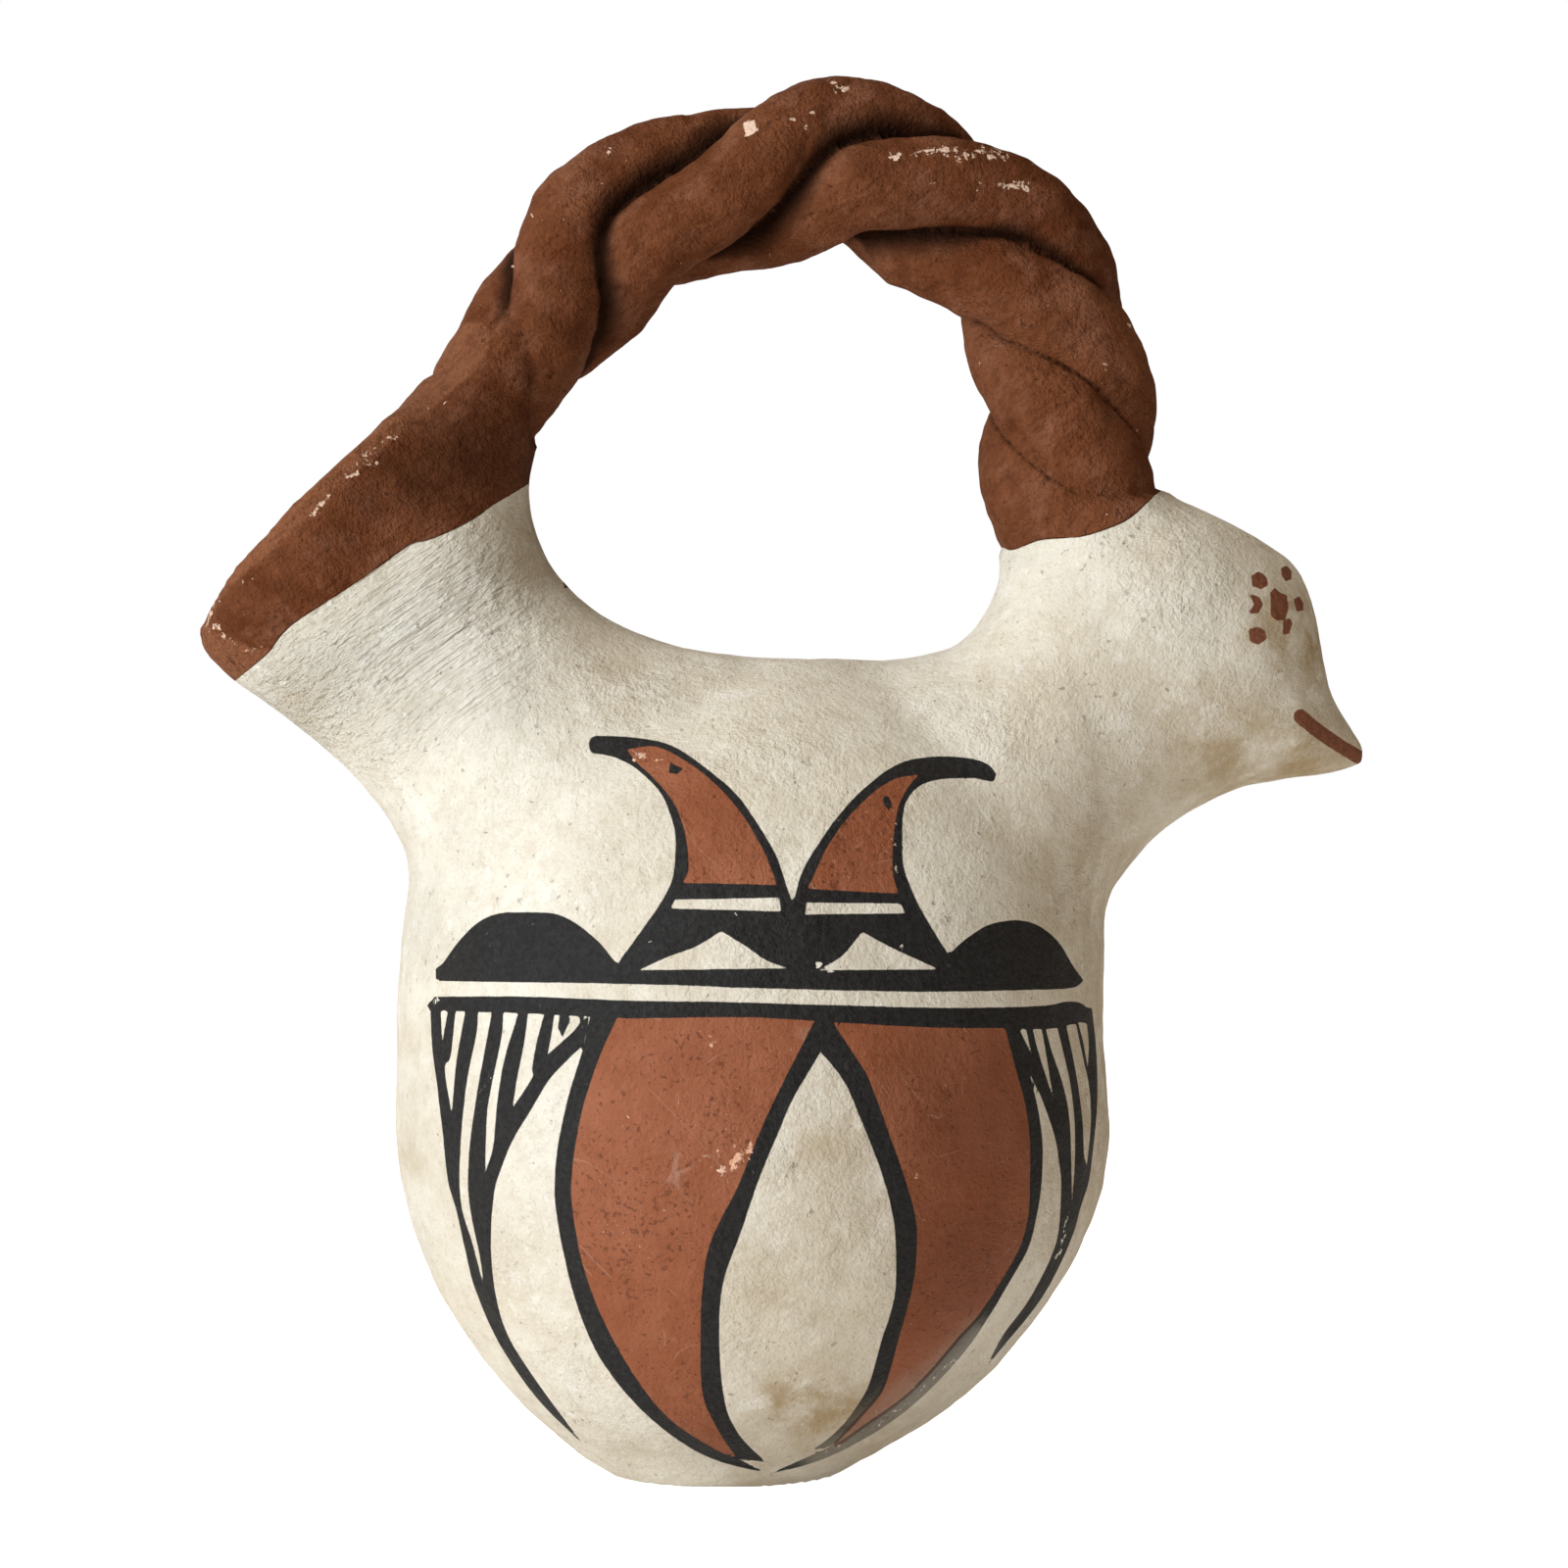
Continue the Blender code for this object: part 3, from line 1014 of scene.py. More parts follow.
    def black_marks(self) -> list[Mark]:
        """The strokes and solid parts in black, before what is left bare in them."""
        crown = Outline((
            self.left_horn_back, self.right_horn_back, self.right_horn_tip, self.right_horn_belly,
            self.right_hump, self.line_above_stripe, self.left_hump, self.left_horn_belly,
            self.left_horn_tip,
        ))
        return [
            crown,
            Outline((self.left_leaf_out, self.left_leaf_in[::-1])),
            Outline((self.left_leaf_right, self.bare_leaf_left[::-1], ((838, 1073), (846, 1030)))),
            Outline((self.right_leaf_left, self.bare_leaf_right[::-1], ((838, 1073), (836, 1030)))),
            Outline((self.right_leaf_in, self.right_leaf_out[::-1])),
            Outline((self.left_thorn_out, self.left_thorn_in, ((596, 1066), (603, 1028)))),
            Outline((self.right_thorn_out, self.right_thorn_in)),
        ]

    def band(self) -> Mark:
        """The band under the bare stripe, painted last, over the leaves' tops."""
        return Outline((self.band_top, self.band_foot))

    def bare_bars(self) -> list[Mark]:
        """What stays bare in the block between the humps: two bars and two triangles."""
        return [
            angular((689, 918), (795, 916), (797, 930), (684, 927)),
            angular((823, 921), (919, 922), (924, 932), (822, 933)),
            Outline((
                ((736, 950), (760, 965), (780, 979), (803, 988)),
                ((803, 988), (652, 990)),
                ((652, 990), (685, 975), (710, 966), (736, 950)),
            )),
            Outline((
                ((880, 951), (910, 967), (940, 981), (957, 989)),
                ((957, 989), (836, 990)),
                ((836, 990), (860, 975), (880, 951)),
            )),
        ]

    def bare_slivers(self) -> list[Mark]:
        """What stays bare in the hatching of the two thorns, from left to right in each."""
        rows = [
            (((450, 1031), (457, 1031)), (), (451, 1067), ()),
            (((465, 1031), (475, 1032)), ((466, 1081),), (461, 1137), ((454, 1090), (460, 1078))),
            (((488, 1031), (502, 1033)), ((491, 1091), (483, 1139), (478, 1187), (479, 1229), (490, 1284)),
             (493, 1310), ((482, 1268), (472, 1236), (469, 1204), (471, 1155), (477, 1100), (486, 1058))),
            (((514, 1033), (529, 1034)), ((514, 1084), (507, 1129), (503, 1171)),
             (495, 1197), ((496, 1165), (498, 1129), (506, 1087), (512, 1058))),
            (((539, 1034), (556, 1033)), ((548, 1062), (543, 1090), (543, 1100)),
             (523, 1131), ((528, 1100), (535, 1065))),
            (((566, 1033), (590, 1035)), ((590, 1047),), (559, 1076), ((563, 1055),)),
            (((596, 1034), (602, 1035)), (), (596, 1041), ()),
            (((1040, 1050), (1047, 1050)), (), (1053, 1077), ()),
            (((1054, 1050), (1063, 1050)), ((1068, 1079),), (1075, 1122), ((1068, 1100), (1059, 1071))),
            (((1067, 1050), (1079, 1049)), ((1091, 1100), (1096, 1138), (1097, 1176)),
             (1094, 1228), ((1093, 1176), (1091, 1138), (1084, 1104), (1074, 1075))),
            (((1088, 1046), (1098, 1045)), ((1106, 1083), (1112, 1113), (1113, 1147)),
             (1109, 1190), ((1106, 1176), (1105, 1147), (1101, 1113), (1095, 1079))),
            (((1100, 1043), (1109, 1044)), ((1111, 1066),), (1110, 1090), ((1105, 1062),)),
        ]
        return [thorn(*row) for row in rows]

    def small_touches(self) -> list[Mark]:
        """The small black touches inside the horns and in the hatching, on the near side only."""
        return [
            angular((684, 778), (690, 781), (698, 784), (691, 790), (682, 789)),
            angular((901, 811), (907, 813), (911, 822), (907, 827), (902, 821)),
            angular((572, 1034), (580, 1034), (582, 1042), (574, 1059), (569, 1049)),
        ]


class Face:
    """The bird's face: a ring of dots for each eye and a line for the beak, in red-brown."""

    dots: tuple[Outline, ...] = (
        angular(
            (1296, 605), (1301, 600), (1306, 605), (1313, 607), (1315, 621), (1311, 632), (1303, 633),
            (1297, 629)
        ),
        angular((1277, 588), (1284, 583), (1292, 588), (1294, 597), (1287, 601), (1278, 598)),
        angular((1307, 580), (1313, 577), (1318, 583), (1318, 591), (1312, 593), (1308, 588)),
        angular((1275, 606), (1285, 609), (1289, 617), (1284, 626), (1273, 626), (1280, 617)),
        angular((1320, 612), (1326, 608), (1330, 615), (1330, 623), (1323, 624)),
        angular((1310, 634), (1316, 631), (1319, 636), (1316, 646), (1309, 648)),
        angular((1274, 642), (1283, 639), (1291, 643), (1293, 652), (1284, 658), (1275, 655)),
    )
    beak = Line(((1327, 731), (1344, 745), (1364, 759), (1387, 773)), 14.5)

    def marks(self) -> list[Mark]:
        """The dots and the line."""
        return [*self.dots, self.beak]


class RedSlip:
    """Where the handle's red-brown slip lies: the handle, the tail's upper side and the nape."""

    tail_edge = (
        (236, 700), (243, 692), (272, 668), (294, 641), (332, 615), (375, 587), (417, 557), (441, 550),
        (480, 532), (504, 515), (536, 496), (575, 470)
    )
    neck_edge = (
        (1000, 557), (1021, 558), (1034, 561), (1062, 551), (1100, 548), (1129, 540), (1154, 528),
        (1183, 502), (1230, 470)
    )

    lip_crease = (
        (205, 628), (212, 630), (224, 613), (248, 586), (290, 551), (325, 521), (344, 494), (382, 467),
        (401, 448), (430, 425), (453, 405), (486, 376), (500, 350), (496, 330)
    )
    lip_corner = ((205, 628), (214, 640), (224, 648), (240, 655), (258, 661), (276, 664))

    def lip(self) -> Outline:
        """The strip along the mouth's rim, where the slip is painted paler: a highlight, with wear."""
        wide = 100
        return Outline((
            self.lip_crease,
            ((496, 330), (wide, 330)),
            ((wide, 330), (wide, 740)),
            ((wide, 740), (276, 740)),
            ((276, 740), (276, 664)),
            self.lip_corner[::-1],
        ))

    def mark(self) -> Outline:
        """The slip's outline, closed well outside the pot."""
        high, wide = 20, 100
        return Outline((
            ((1230, 470), (1230, high)),
            ((1230, high), (wide, high)),
            ((wide, high), (wide, 740)),
            ((wide, 740), (236, 700)),
            self.tail_edge,
            ((575, 470), (575, 600)),
            ((575, 600), (1000, 600)),
            self.neck_edge,
        ))


@dataclass(frozen=True)
class Marks:
    """Places, in picture points, where something shows on the clay: round spots and long streaks.

    Args:
        spots: For each spot its middle across and down, its radius, and how strongly it shows.
        streaks: For each streak its points, its radius, and how strongly it shows.
    """

    spots: tuple[tuple[float, float, float, float], ...]
    streaks: tuple[tuple[Run, float, float], ...] = ()

    def shown(self, points: Numbers) -> Numbers:
        """How strongly the strongest mark shows at each point: a bell curve over its radius."""
        gaps = [(np.linalg.norm(points - np.array(row[:2]), axis=1), *row[2:]) for row in self.spots]
        gaps += [(Line(run).gap(points), *row) for run, *row in self.streaks]
        return np.max([strength * bell(gap, radius) for gap, radius, strength in gaps], axis=0)


class Wear:
    """Where slip and paint are chipped, scraped, greyed and brushed, where they bear staining and
    smoke, and where shade is painted on them.

    Chips, scrapes and the paint that turns under show on the near side only.
    """

    chips = Marks((
        (765, 130, 8, 1.7), (760, 140, 9, 0.5), (850, 88, 13, 0.72), (862, 90, 8, 0.75),
        (808, 122, 4, 1.3), (828, 116, 4, 1.0), (822, 131, 4, 1.3), (812, 112, 9, 0.5), (622, 155, 6, 1.0),
        (808, 106, 5, 0.7), (912, 160, 5, 1.6), (945, 154, 5, 1.2), (1036, 189, 6, 1.2),
        (1000, 191, 5, 0.9), (1000, 182, 22, 0.42), (951, 185, 4, 1.1), (985, 172, 14, 0.5),
        (1152, 332, 4, 1.2), (1128, 372, 4, 0.9), (1075, 452, 4, 1.0), (1100, 450, 6, 0.8),
        (1132, 522, 6, 0.95), (980, 310, 4, 0.8), (1052, 168, 5, 0.7), (388, 467, 6, 1.1),
        (333, 508, 5, 1.1), (318, 522, 5, 0.95), (345, 492, 5, 0.9), (440, 415, 5, 0.8),
        (455, 410, 4, 0.9), (478, 390, 6, 0.7), (483, 380, 4, 0.8), (249, 592, 8, 0.8), (246, 588, 4, 1.1),
        (270, 556, 4, 0.9), (215, 625, 6, 0.9), (213, 640, 5, 1.1), (222, 617, 5, 0.9), (318, 566, 4, 0.9),
        (306, 564, 4, 0.8), (401, 494, 4, 0.8), (364, 504, 4, 0.8), (543, 219, 5, 0.8), (524, 272, 4, 0.8),
        (786, 262, 4, 0.9), (455, 450, 4, 0.8), (420, 445, 5, 0.7), (560, 230, 30, 0.3),
        (380, 470, 30, 0.38), (1100, 340, 40, 0.25), (900, 200, 50, 0.25),
    ), (
        (((918, 158), (945, 155), (975, 155), (1000, 158)), 7, 0.6),
        (((965, 153), (985, 158), (1010, 155), (1026, 158)), 11, 0.74),
        (((1000, 151), (1024, 155)), 5, 0.75), (((1022, 190), (1040, 188), (1050, 192)), 7, 0.8),
        (((408, 445), (390, 450), (372, 463), (352, 478)), 6, 0.7),
        (((386, 470), (366, 480), (352, 492)), 5, 0.8),
        (((219, 637), (237, 655), (251, 662), (266, 661)), 4, 0.78),
    ))
    scrapes = Marks((
        (750, 1182, 14, 0.95), (734, 1190, 12, 0.85), (765, 1172, 7, 1.1), (744, 1200, 12, 0.72),
        (720, 1188, 20, 0.62), (745, 1184, 34, 0.56), (726, 1056, 8, 0.75), (731, 1070, 9, 0.85),
        (652, 772, 12, 0.8), (672, 778, 8, 0.7), (610, 1290, 14, 0.45), (640, 1140, 40, 0.3),
        (988, 1053, 9, 0.7), (846, 988, 7, 0.95), (836, 984, 6, 0.9), (750, 935, 7, 0.75),
        (760, 868, 8, 0.5), (914, 838, 8, 0.65), (920, 966, 9, 0.65), (660, 962, 8, 0.55),
        (725, 1330, 8, 0.5), (655, 1360, 12, 0.45), (950, 1210, 14, 0.6), (935, 1200, 8, 0.7),
        (1040, 1262, 12, 0.4), (470, 1030, 8, 0.55), (446, 1020, 7, 0.85), (700, 1010, 9, 0.5),
        (500, 1100, 12, 0.4), (604, 765, 4, 0.7),
    ), (
        (((904, 842), (913, 866), (914, 890)), 4, 0.62), (((845, 1480), (880, 1462), (925, 1432)), 9, 0.5),
        (((930, 1424), (965, 1396), (998, 1366)), 5, 0.55),
        (((870, 1462), (905, 1436), (950, 1404), (985, 1380)), 18, 0.42),
        (((1090, 1240), (1082, 1275), (1074, 1292)), 4, 0.65),
    ))
    # Staining and painted shade. Those round the lower part of the bare middle leaf are staining; those on
    # the forehead, under the beak and down the body's right side are painted shade; the rest darken the cream
    # in patches.
    stains_and_shade = Marks((
        (835, 1440, 44, 1.3), (865, 1430, 30, 1.3), (795, 1428, 26, 1.2), (860, 1250, 70, 0.5),
        (1290, 560, 40, 0.4), (1110, 900, 110, 0.6), (1260, 775, 80, 0.95), (760, 1500, 60, 0.45),
        (650, 1490, 60, 0.25), (570, 1440, 50, 0.3), (900, 1475, 50, 0.6), (418, 1180, 26, 0.4),
        (412, 1060, 22, 0.3), (1185, 560, 40, 0.4), (1250, 780, 60, 0.5), (300, 720, 30, 0.4),
        (540, 560, 40, 0.7), (1340, 640, 60, 1.5), (1330, 775, 55, 1.1), (620, 680, 60, 0.4),
        (830, 700, 80, 0.08), (840, 1170, 60, 0.6), (790, 1300, 50, 0.5), (1090, 1420, 60, 0.4),
        (1030, 700, 60, 0.25), (560, 1480, 40, 0.5), (840, 1350, 50, 0.3),
    ), (
        (((1150, 880), (1130, 1100), (1110, 1240)), 60, 0.6),
    ))
    # Smoke and painted shade, which darken the slip and the leaf red. The spots round the hollow under the
    # handle's root and the two on the right leaf are painted shade; the others darken the handle in patches.
    smoke_and_shade = Marks((
        (475, 465, 60, 0.62), (430, 495, 34, 0.55), (400, 480, 22, 0.45), (520, 440, 40, 0.35),
        (540, 480, 34, 0.42), (380, 512, 22, 0.35), (344, 548, 18, 0.2), (570, 330, 26, 0.22),
        (590, 290, 20, 0.25), (600, 420, 30, 0.3), (1110, 230, 24, 0.25), (1000, 120, 22, 0.2),
        (880, 160, 26, 0.22), (700, 150, 18, 0.25), (1140, 300, 22, 0.3), (940, 215, 26, 0.12),
        (1080, 330, 26, 0.14), (1150, 400, 22, 0.18), (1040, 540, 22, 0.05), (990, 1140, 90, 0.3),
        (970, 1290, 80, 0.32),
    ))
    brushed = Marks((), (
        (((310, 720), (400, 650), (480, 590)), 75, 1.0), (((380, 760), (500, 680)), 45, 0.6),
    ))
    greyed = Marks((
        (430, 690, 80, 0.62), (520, 700, 70, 0.65), (1230, 620, 60, 0.3), (1290, 700, 60, 0.3),
        (428, 950, 46, 0.32), (610, 800, 60, 0.12),
    ), (
        (((290, 700), (400, 660), (520, 590)), 75, 0.62),
    ))
    turned_under = Marks((), (
        (((835, 1486), (880, 1466), (925, 1434), (965, 1400), (1000, 1366)), 17, 0.9),
        (((850, 1452), (890, 1440), (930, 1412)), 12, 0.5),
    ))


@dataclass(frozen=True)
class HandWork:
    """The unevenness that hands leave in clay, in millimetres along the surface's outward way.

    Args:
        swell: Height and wavelength of the broad unevenness of the walls.
        press: Height and wavelength of finger marks.
        dent: Height and wavelength of smaller dents.
        knead: Height and wavelength of the coils' own lumps.
        rough: Height and wavelength of the rough skin on the coils and the tail.
        handle_foot: Picture heights between which the handle's own lumps come in.
        lip_crease: The crease along the mouth's lip.
        lip_corner_crease: The crease under the lip's lower corner.
        neck_groove: The groove between neck and breast.
        lumps: Small lumps on the near side, with their heights.
        hollows: Small hollows there, with their depths.
    """

    swell: tuple[float, float] = (0.30, 30.0)
    press: tuple[float, float] = (0.14, 10.0)
    dent: tuple[float, float] = (0.05, 4.5)
    knead: tuple[float, float] = (0.22, 8.0)
    rough: tuple[float, float] = (0.10, 3.2)
    handle_foot: tuple[float, float] = (470, 380)
    lip_crease: Run = ((212, 632), (221, 617), *RedSlip.lip_crease[3:10])
    lip_corner_crease: Run = ((214, 638), *RedSlip.lip_corner[2:])
    neck_groove: Run = ((1090, 640), (1098, 680), (1110, 720), (1122, 770), (1130, 850))
    lumps: Marks = Marks((
        (485, 384, 15, 0.9), (470, 398, 12, 0.6), (498, 372, 10, 0.7), (720, 210, 14, 0.25),
        (925, 200, 12, 0.2), (580, 225, 12, 0.2),
    ), (
        (((612, 300), (626, 292), (640, 284)), 5, 0.35), (((786, 184), (800, 172), (810, 163)), 4, 0.35),
        (((405, 440), (440, 415), (470, 395)), 8, 0.45), (((300, 640), (350, 590), (420, 545)), 9, 0.12),
    ))
    hollows: Marks = Marks((
        (500, 470, 50, 0.5), (499, 313, 5, 1.1), (510, 290, 5, 0.5), (706, 120, 5, 0.7),
        (845, 118, 7, 0.45), (780, 128, 4, 0.6), (962, 294, 6, 0.9), (952, 288, 4, 0.5),
        (633, 152, 6, 0.6), (1150, 388, 5, 0.7), (1128, 405, 7, 0.3), (1052, 500, 5, 0.5),
        (1085, 470, 12, 0.3), (289, 573, 5, 0.6), (256, 577, 6, 0.4), (300, 560, 18, 0.2),
        (388, 500, 16, 0.25), (560, 360, 5, 0.4), (1140, 500, 10, 0.25), (1170, 560, 6, 0.5),
        (1128, 585, 8, 0.3), (1065, 628, 5, 0.3), (398, 780, 4, 0.35), (404, 805, 3, 0.3),
        (545, 905, 4, 0.25),
    ), (
        (((352, 640), (380, 610), (430, 575)), 5, 0.15), (((1030, 432), (1050, 455), (1068, 478)), 3, 0.8),
        (((1140, 380), (1148, 395)), 4, 0.5),
    ))

    def height(self, places: Numbers, seen: Numbers, slipped: Numbers) -> Numbers:
        """How far each corner of the skin is moved outward.

        It is the sum of smooth noise, less a bell-shaped valley along each crease and in each
        hollow, plus a bell-shaped rise beside a crease and at each lump.

        Args:
            places: The corners in metres.
            seen: The picture points at which they are seen.
            slipped: 1 on the handle's red slip, 0 on the pale clay.

        Returns:
            Metres outward, one for each corner.
        """
        in_mm = places / MILLIMETRE
        near = places[:, 1] < 0
        foot, full = self.handle_foot
        on_handle = eased_step(-seen[:, 1], -foot, -full)
        grown = np.zeros(len(places))
        for (height, wavelength), share, seed in (
            (self.swell, 1, 11),
            (self.press, 1, 12),
            (self.dent, 1, 15),
            (self.knead, on_handle, 13),
            (self.rough, slipped, 14),
        ):
            grown += share * height * soft_noise(in_mm, wavelength, seed)
        for run, shift, height, width in (
            (self.lip_crease, (0, 0), -0.34, 6),
            (self.lip_crease, (9, 7), 0.10, 7),
            (self.lip_corner_crease, (0, 0), -0.22, 5),
            (self.neck_groove, (0, 0), -0.17, 8),
            (self.neck_groove, (14, 0), 0.14, 11),
        ):
            grown += height * bell(Line(run).gap(seen + np.array(shift)), width)
        grown += near * self.lumps.shown(seen)
        grown -= near * self.hollows.shown(seen)
        return grown * MILLIMETRE


class Paint(Enum):
    """The coats on the skin, each kept as an attribute: millimetres inside its edge."""

    RED_SLIP = "red_slip"
    LIP = "pale_lip"
    LEAF_RED = "leaf_red"
    BLACK = "black_lines"
    FACE = "face_dots"
    RIM = "rim_slip"


class Trace(Enum):
    """What hands and time have left on the skin, and painted shade: each kept as an attribute
    from 0 to about 1.
    """

    CHIPPED = "chipped"
    SCRAPED = "scraped"
    STAIN_AND_SHADE = "stain_and_painted_shade"
    DARKENED = "darkened"
    GREYED = "greyed"
    TURNED_UNDER = "turned_under"
    BRUSHED = "brushed"


class NodeSheet:
    """A small set of helpers that lay out the nodes of one material or one node group.

    Its where is the socket of the coordinates, in metres, that its patterns lie on.
    """

    mix_share, mix_first, mix_second, mix_colour = 0, 6, 7, 2

    def __init__(self, tree: Tree) -> None:
        """Starts on the tree that the nodes go into."""
        self.tree = tree
        self.count = 0
        self.where: Socket | None = None

    def add(self, kind: str, **settings: object) -> Node:
        """A new node.

        Args:
            kind: The node's type, without its ShaderNode prefix.
            **settings: Values for its properties.

        Returns:
            The node.
        """
        node = self.tree.nodes.new("ShaderNode" + kind)
        node.location = (220 * (self.count % 9), -260 * (self.count // 9))
        self.count += 1
        for name, value in settings.items():
            setattr(node, name, value)
        return node

    def feed(self, socket: Socket, value: object) -> None:
        """Links a socket into another, or sets a plain value on it.

        Args:
            socket: The input that is fed.
            value: A socket, a number or a colour.
        """
        if isinstance(value, Socket):
            self.tree.links.new(value, socket)
        elif isinstance(value, tuple) and len(value) == 3 and socket.type == "RGBA":
            socket.default_value = (*value, 1.0)
        else:
            socket.default_value = value

    def sum_up(self, operation: str, *values: object, clamp: bool = False) -> Socket:
        """A Math node over up to three values.

        Args:
            operation: The Math node's operation.
            *values: Sockets or numbers.
            clamp: Whether the result is kept between 0 and 1.

        Returns:
            Its result.
        """
        node = self.add("Math", operation=operation, use_clamp=clamp)
        for socket, value in zip(node.inputs, values):
            self.feed(socket, value)
        return node.outputs[0]

    def times(self, first: object, second: object) -> Socket:
        """One value times another."""
        return self.sum_up("MULTIPLY", first, second)

    def add_share(self, value: object, share: object, base: object) -> Socket:
        """A share of a value, on top of a base."""
        return self.sum_up("MULTIPLY_ADD", value, share, base)

    def step(self, value: object, low: float, high: float, start: float = 0.0, end: float = 1.0) -> Socket:
        """A smooth step: from start below the low value to end above the high one.

        Args:
            value: What is stepped.
            low: Where the step begins.
            high: Where it ends.
            start: The result below it.
            end: The result above it.

        Returns:
            The stepped value.
        """
        node = self.add("MapRange", interpolation_type="SMOOTHSTEP")
        given = {"Value": value, "From Min": low, "From Max": high, "To Min": start, "To Max": end}
        for name, number in given.items():
            self.feed(node.inputs[name], number)
        return node.outputs["Result"]

    def mix(self, share: object, first: object, second: object) -> Socket:
        """Two colours mixed.

        Args:
            share: The share of the second.
            first: The first, as a socket or a plain colour.
            second: The second, in the same way.

        Returns:
            The mixed colour.
        """
        node = self.add("Mix", data_type="RGBA")
        self.feed(node.inputs[self.mix_share], share)
        self.feed(node.inputs[self.mix_first], first)
        self.feed(node.inputs[self.mix_second], second)
        return node.outputs[self.mix_colour]

    def over(self, below: object, mask: object, strength: float, laid: object) -> Socket:
        """A colour laid over another by a mask, and at most at a strength."""
        return self.mix(self.times(mask, strength), below, laid)

    def layers(self, below: object, *laid: tuple[Socket, float, object]) -> Socket:
        """A colour under layers, each given as its mask, its strength and its colour."""
        for mask, strength, colour in laid:
            below = self.over(below, mask, strength, colour)
        return below

    def noise(
        self, size: object, detail: float, rough: float, pattern: object, where: Socket | None = None
    ) -> Socket:
        """Cloudy noise of 0 to 1.

        Args:
            size: Rough size of its clouds, in millimetres: a number, or a socket.
            detail: How many finer layers it has.
            rough: How strong each finer layer is.
            pattern: Its own pattern: any number, or a socket.
            where: Other coordinates than the sheet's own.

        Returns:
            The noise.
        """
        node = self.add("TexNoise", noise_dimensions="4D")
        self.feed(node.inputs["Vector"], self.where if where is None else where)
        steady = not isinstance(size, Socket)
        scale = 1 / (size * MILLIMETRE) if steady else self.sum_up("DIVIDE", 1 / MILLIMETRE, size)
        for name, value in {"Scale": scale, "Detail": detail, "Roughness": rough, "W": pattern}.items():
            self.feed(node.inputs[name], value)
        return node.outputs["Fac"]

    def clouds(
        self, size: float, detail: float, rough: float, pattern: float, low: float, high: float
    ) -> Socket:
        """The places where noise passes smoothly from the low value to the high one."""
        return self.step(self.noise(size, detail, rough, pattern), low, high)

    def drawn_out(self, turn: float, scale: tuple[float, float, float]) -> Socket:
        """The coordinates turned about the bird's cross axis, and stretched.

        Args:
            turn: The turn, in degrees.
            scale: How many times larger a pattern gets along each axis.

        Returns:
            The new coordinates.
        """
        node = self.add("Mapping", vector_type="TEXTURE")
        self.feed(node.inputs["Vector"], self.where)
        node.inputs["Rotation"].default_value = (0, math.radians(turn), 0)
        node.inputs["Scale"].default_value = scale
        return node.outputs["Vector"]

    def attribute(self, kept: Enum) -> Socket:
        """A number kept on the piece's skin."""
        return self.add("Attribute", attribute_name=kept.value).outputs["Fac"]

    def place(self, group: Tree, **values: object) -> Node:
        """Places a node group on the sheet's coordinates.

        Args:
            group: The group.
            **values: Sockets or numbers for its other inputs, by name.

        Returns:
            The group's node.
        """
        node = self.add("Group", node_tree=group)
        for name, value in {"Where": self.where, **values}.items():
            self.feed(node.inputs[name], value)
        return node


class NodeGroup:
    """A node group under way: its sheet, and its input and output nodes."""

    def __init__(self, name: str, inputs: dict[str, float], outputs: tuple[str, ...]) -> None:
        """Starts a group that takes coordinates under the name Where, and numbers.

        Args:
            name: The group's name.
            inputs: Plain value of each number that it takes.
            outputs: Names of the numbers that it puts out.
        """
        self.tree = bpy.data.node_groups.new(name, "ShaderNodeTree")
        sockets = self.tree.interface
        sockets.new_socket("Where", in_out="INPUT", socket_type="NodeSocketVector")
        for label, value in inputs.items():
            number = sockets.new_socket(label, in_out="INPUT", socket_type="NodeSocketFloat")
            number.default_value = value
        for label in outputs:
            sockets.new_socket(label, in_out="OUTPUT", socket_type="NodeSocketFloat")
        self.source = self.tree.nodes.new("NodeGroupInput")
        self.source.location = (-300, 0)
        self.sink = self.tree.nodes.new("NodeGroupOutput")
        self.sink.location = (2200, 0)
        self.sheet = NodeSheet(self.tree)
        self.sheet.where = self.taken("Where")

    def taken(self, label: str) -> Socket:
        """One of the group's inputs."""
        return self.source.outputs[label]

    def put_out(self, label: str, value: Socket) -> None:
        """Sets what the group puts out under a name."""
        self.sheet.feed(self.sink.inputs[label], value)


def specks_group() -> Tree:
    """Small irregular specks, thicker in some patches than in others.

    A speck is where fine noise, lifted a little by the noise of the patches, passes the rarity.

    Returns:
        A group that takes Size in millimetres, Rarity and Pattern, and puts out a Mask.
    """
    group = NodeGroup("clay_specks", {"Size": 1.0, "Rarity": 0.7, "Pattern": 0.0}, ("Mask",))
    sheet = group.sheet
    fine = sheet.noise(group.taken("Size"), 2.5, 0.55, group.taken("Pattern"))
    lowered = sheet.sum_up("SUBTRACT", fine, 0.11)
    lifted = sheet.add_share(sheet.noise(14, 2, 0.5, 4.0), 0.22, lowered)
    above = sheet.sum_up("SUBTRACT", lifted, group.taken("Rarity"))
    group.put_out("Mask", sheet.step(above, 0.0, 0.035))
    return group.tree


def grain_group() -> Tree:
    """Fired clay's grain: soft mottling in two sizes, and fine grit.

    Returns:
        A group that puts out Mottle and Grit, each from 0 to 1.
    """
    group = NodeGroup("fired_grain", {}, ("Mottle", "Grit"))
    sheet = group.sheet
    broad = sheet.times(sheet.noise(22, 2, 0.5, 1.0), 0.55)
    both = sheet.add_share(sheet.noise(4.5, 3, 0.6, 2.0), 0.45, broad)
    group.put_out("Mottle", sheet.step(both, 0.36, 0.64))
    group.put_out("Grit", sheet.clouds(0.75, 3, 0.65, 3.0, 0.3, 0.72))
    return group.tree


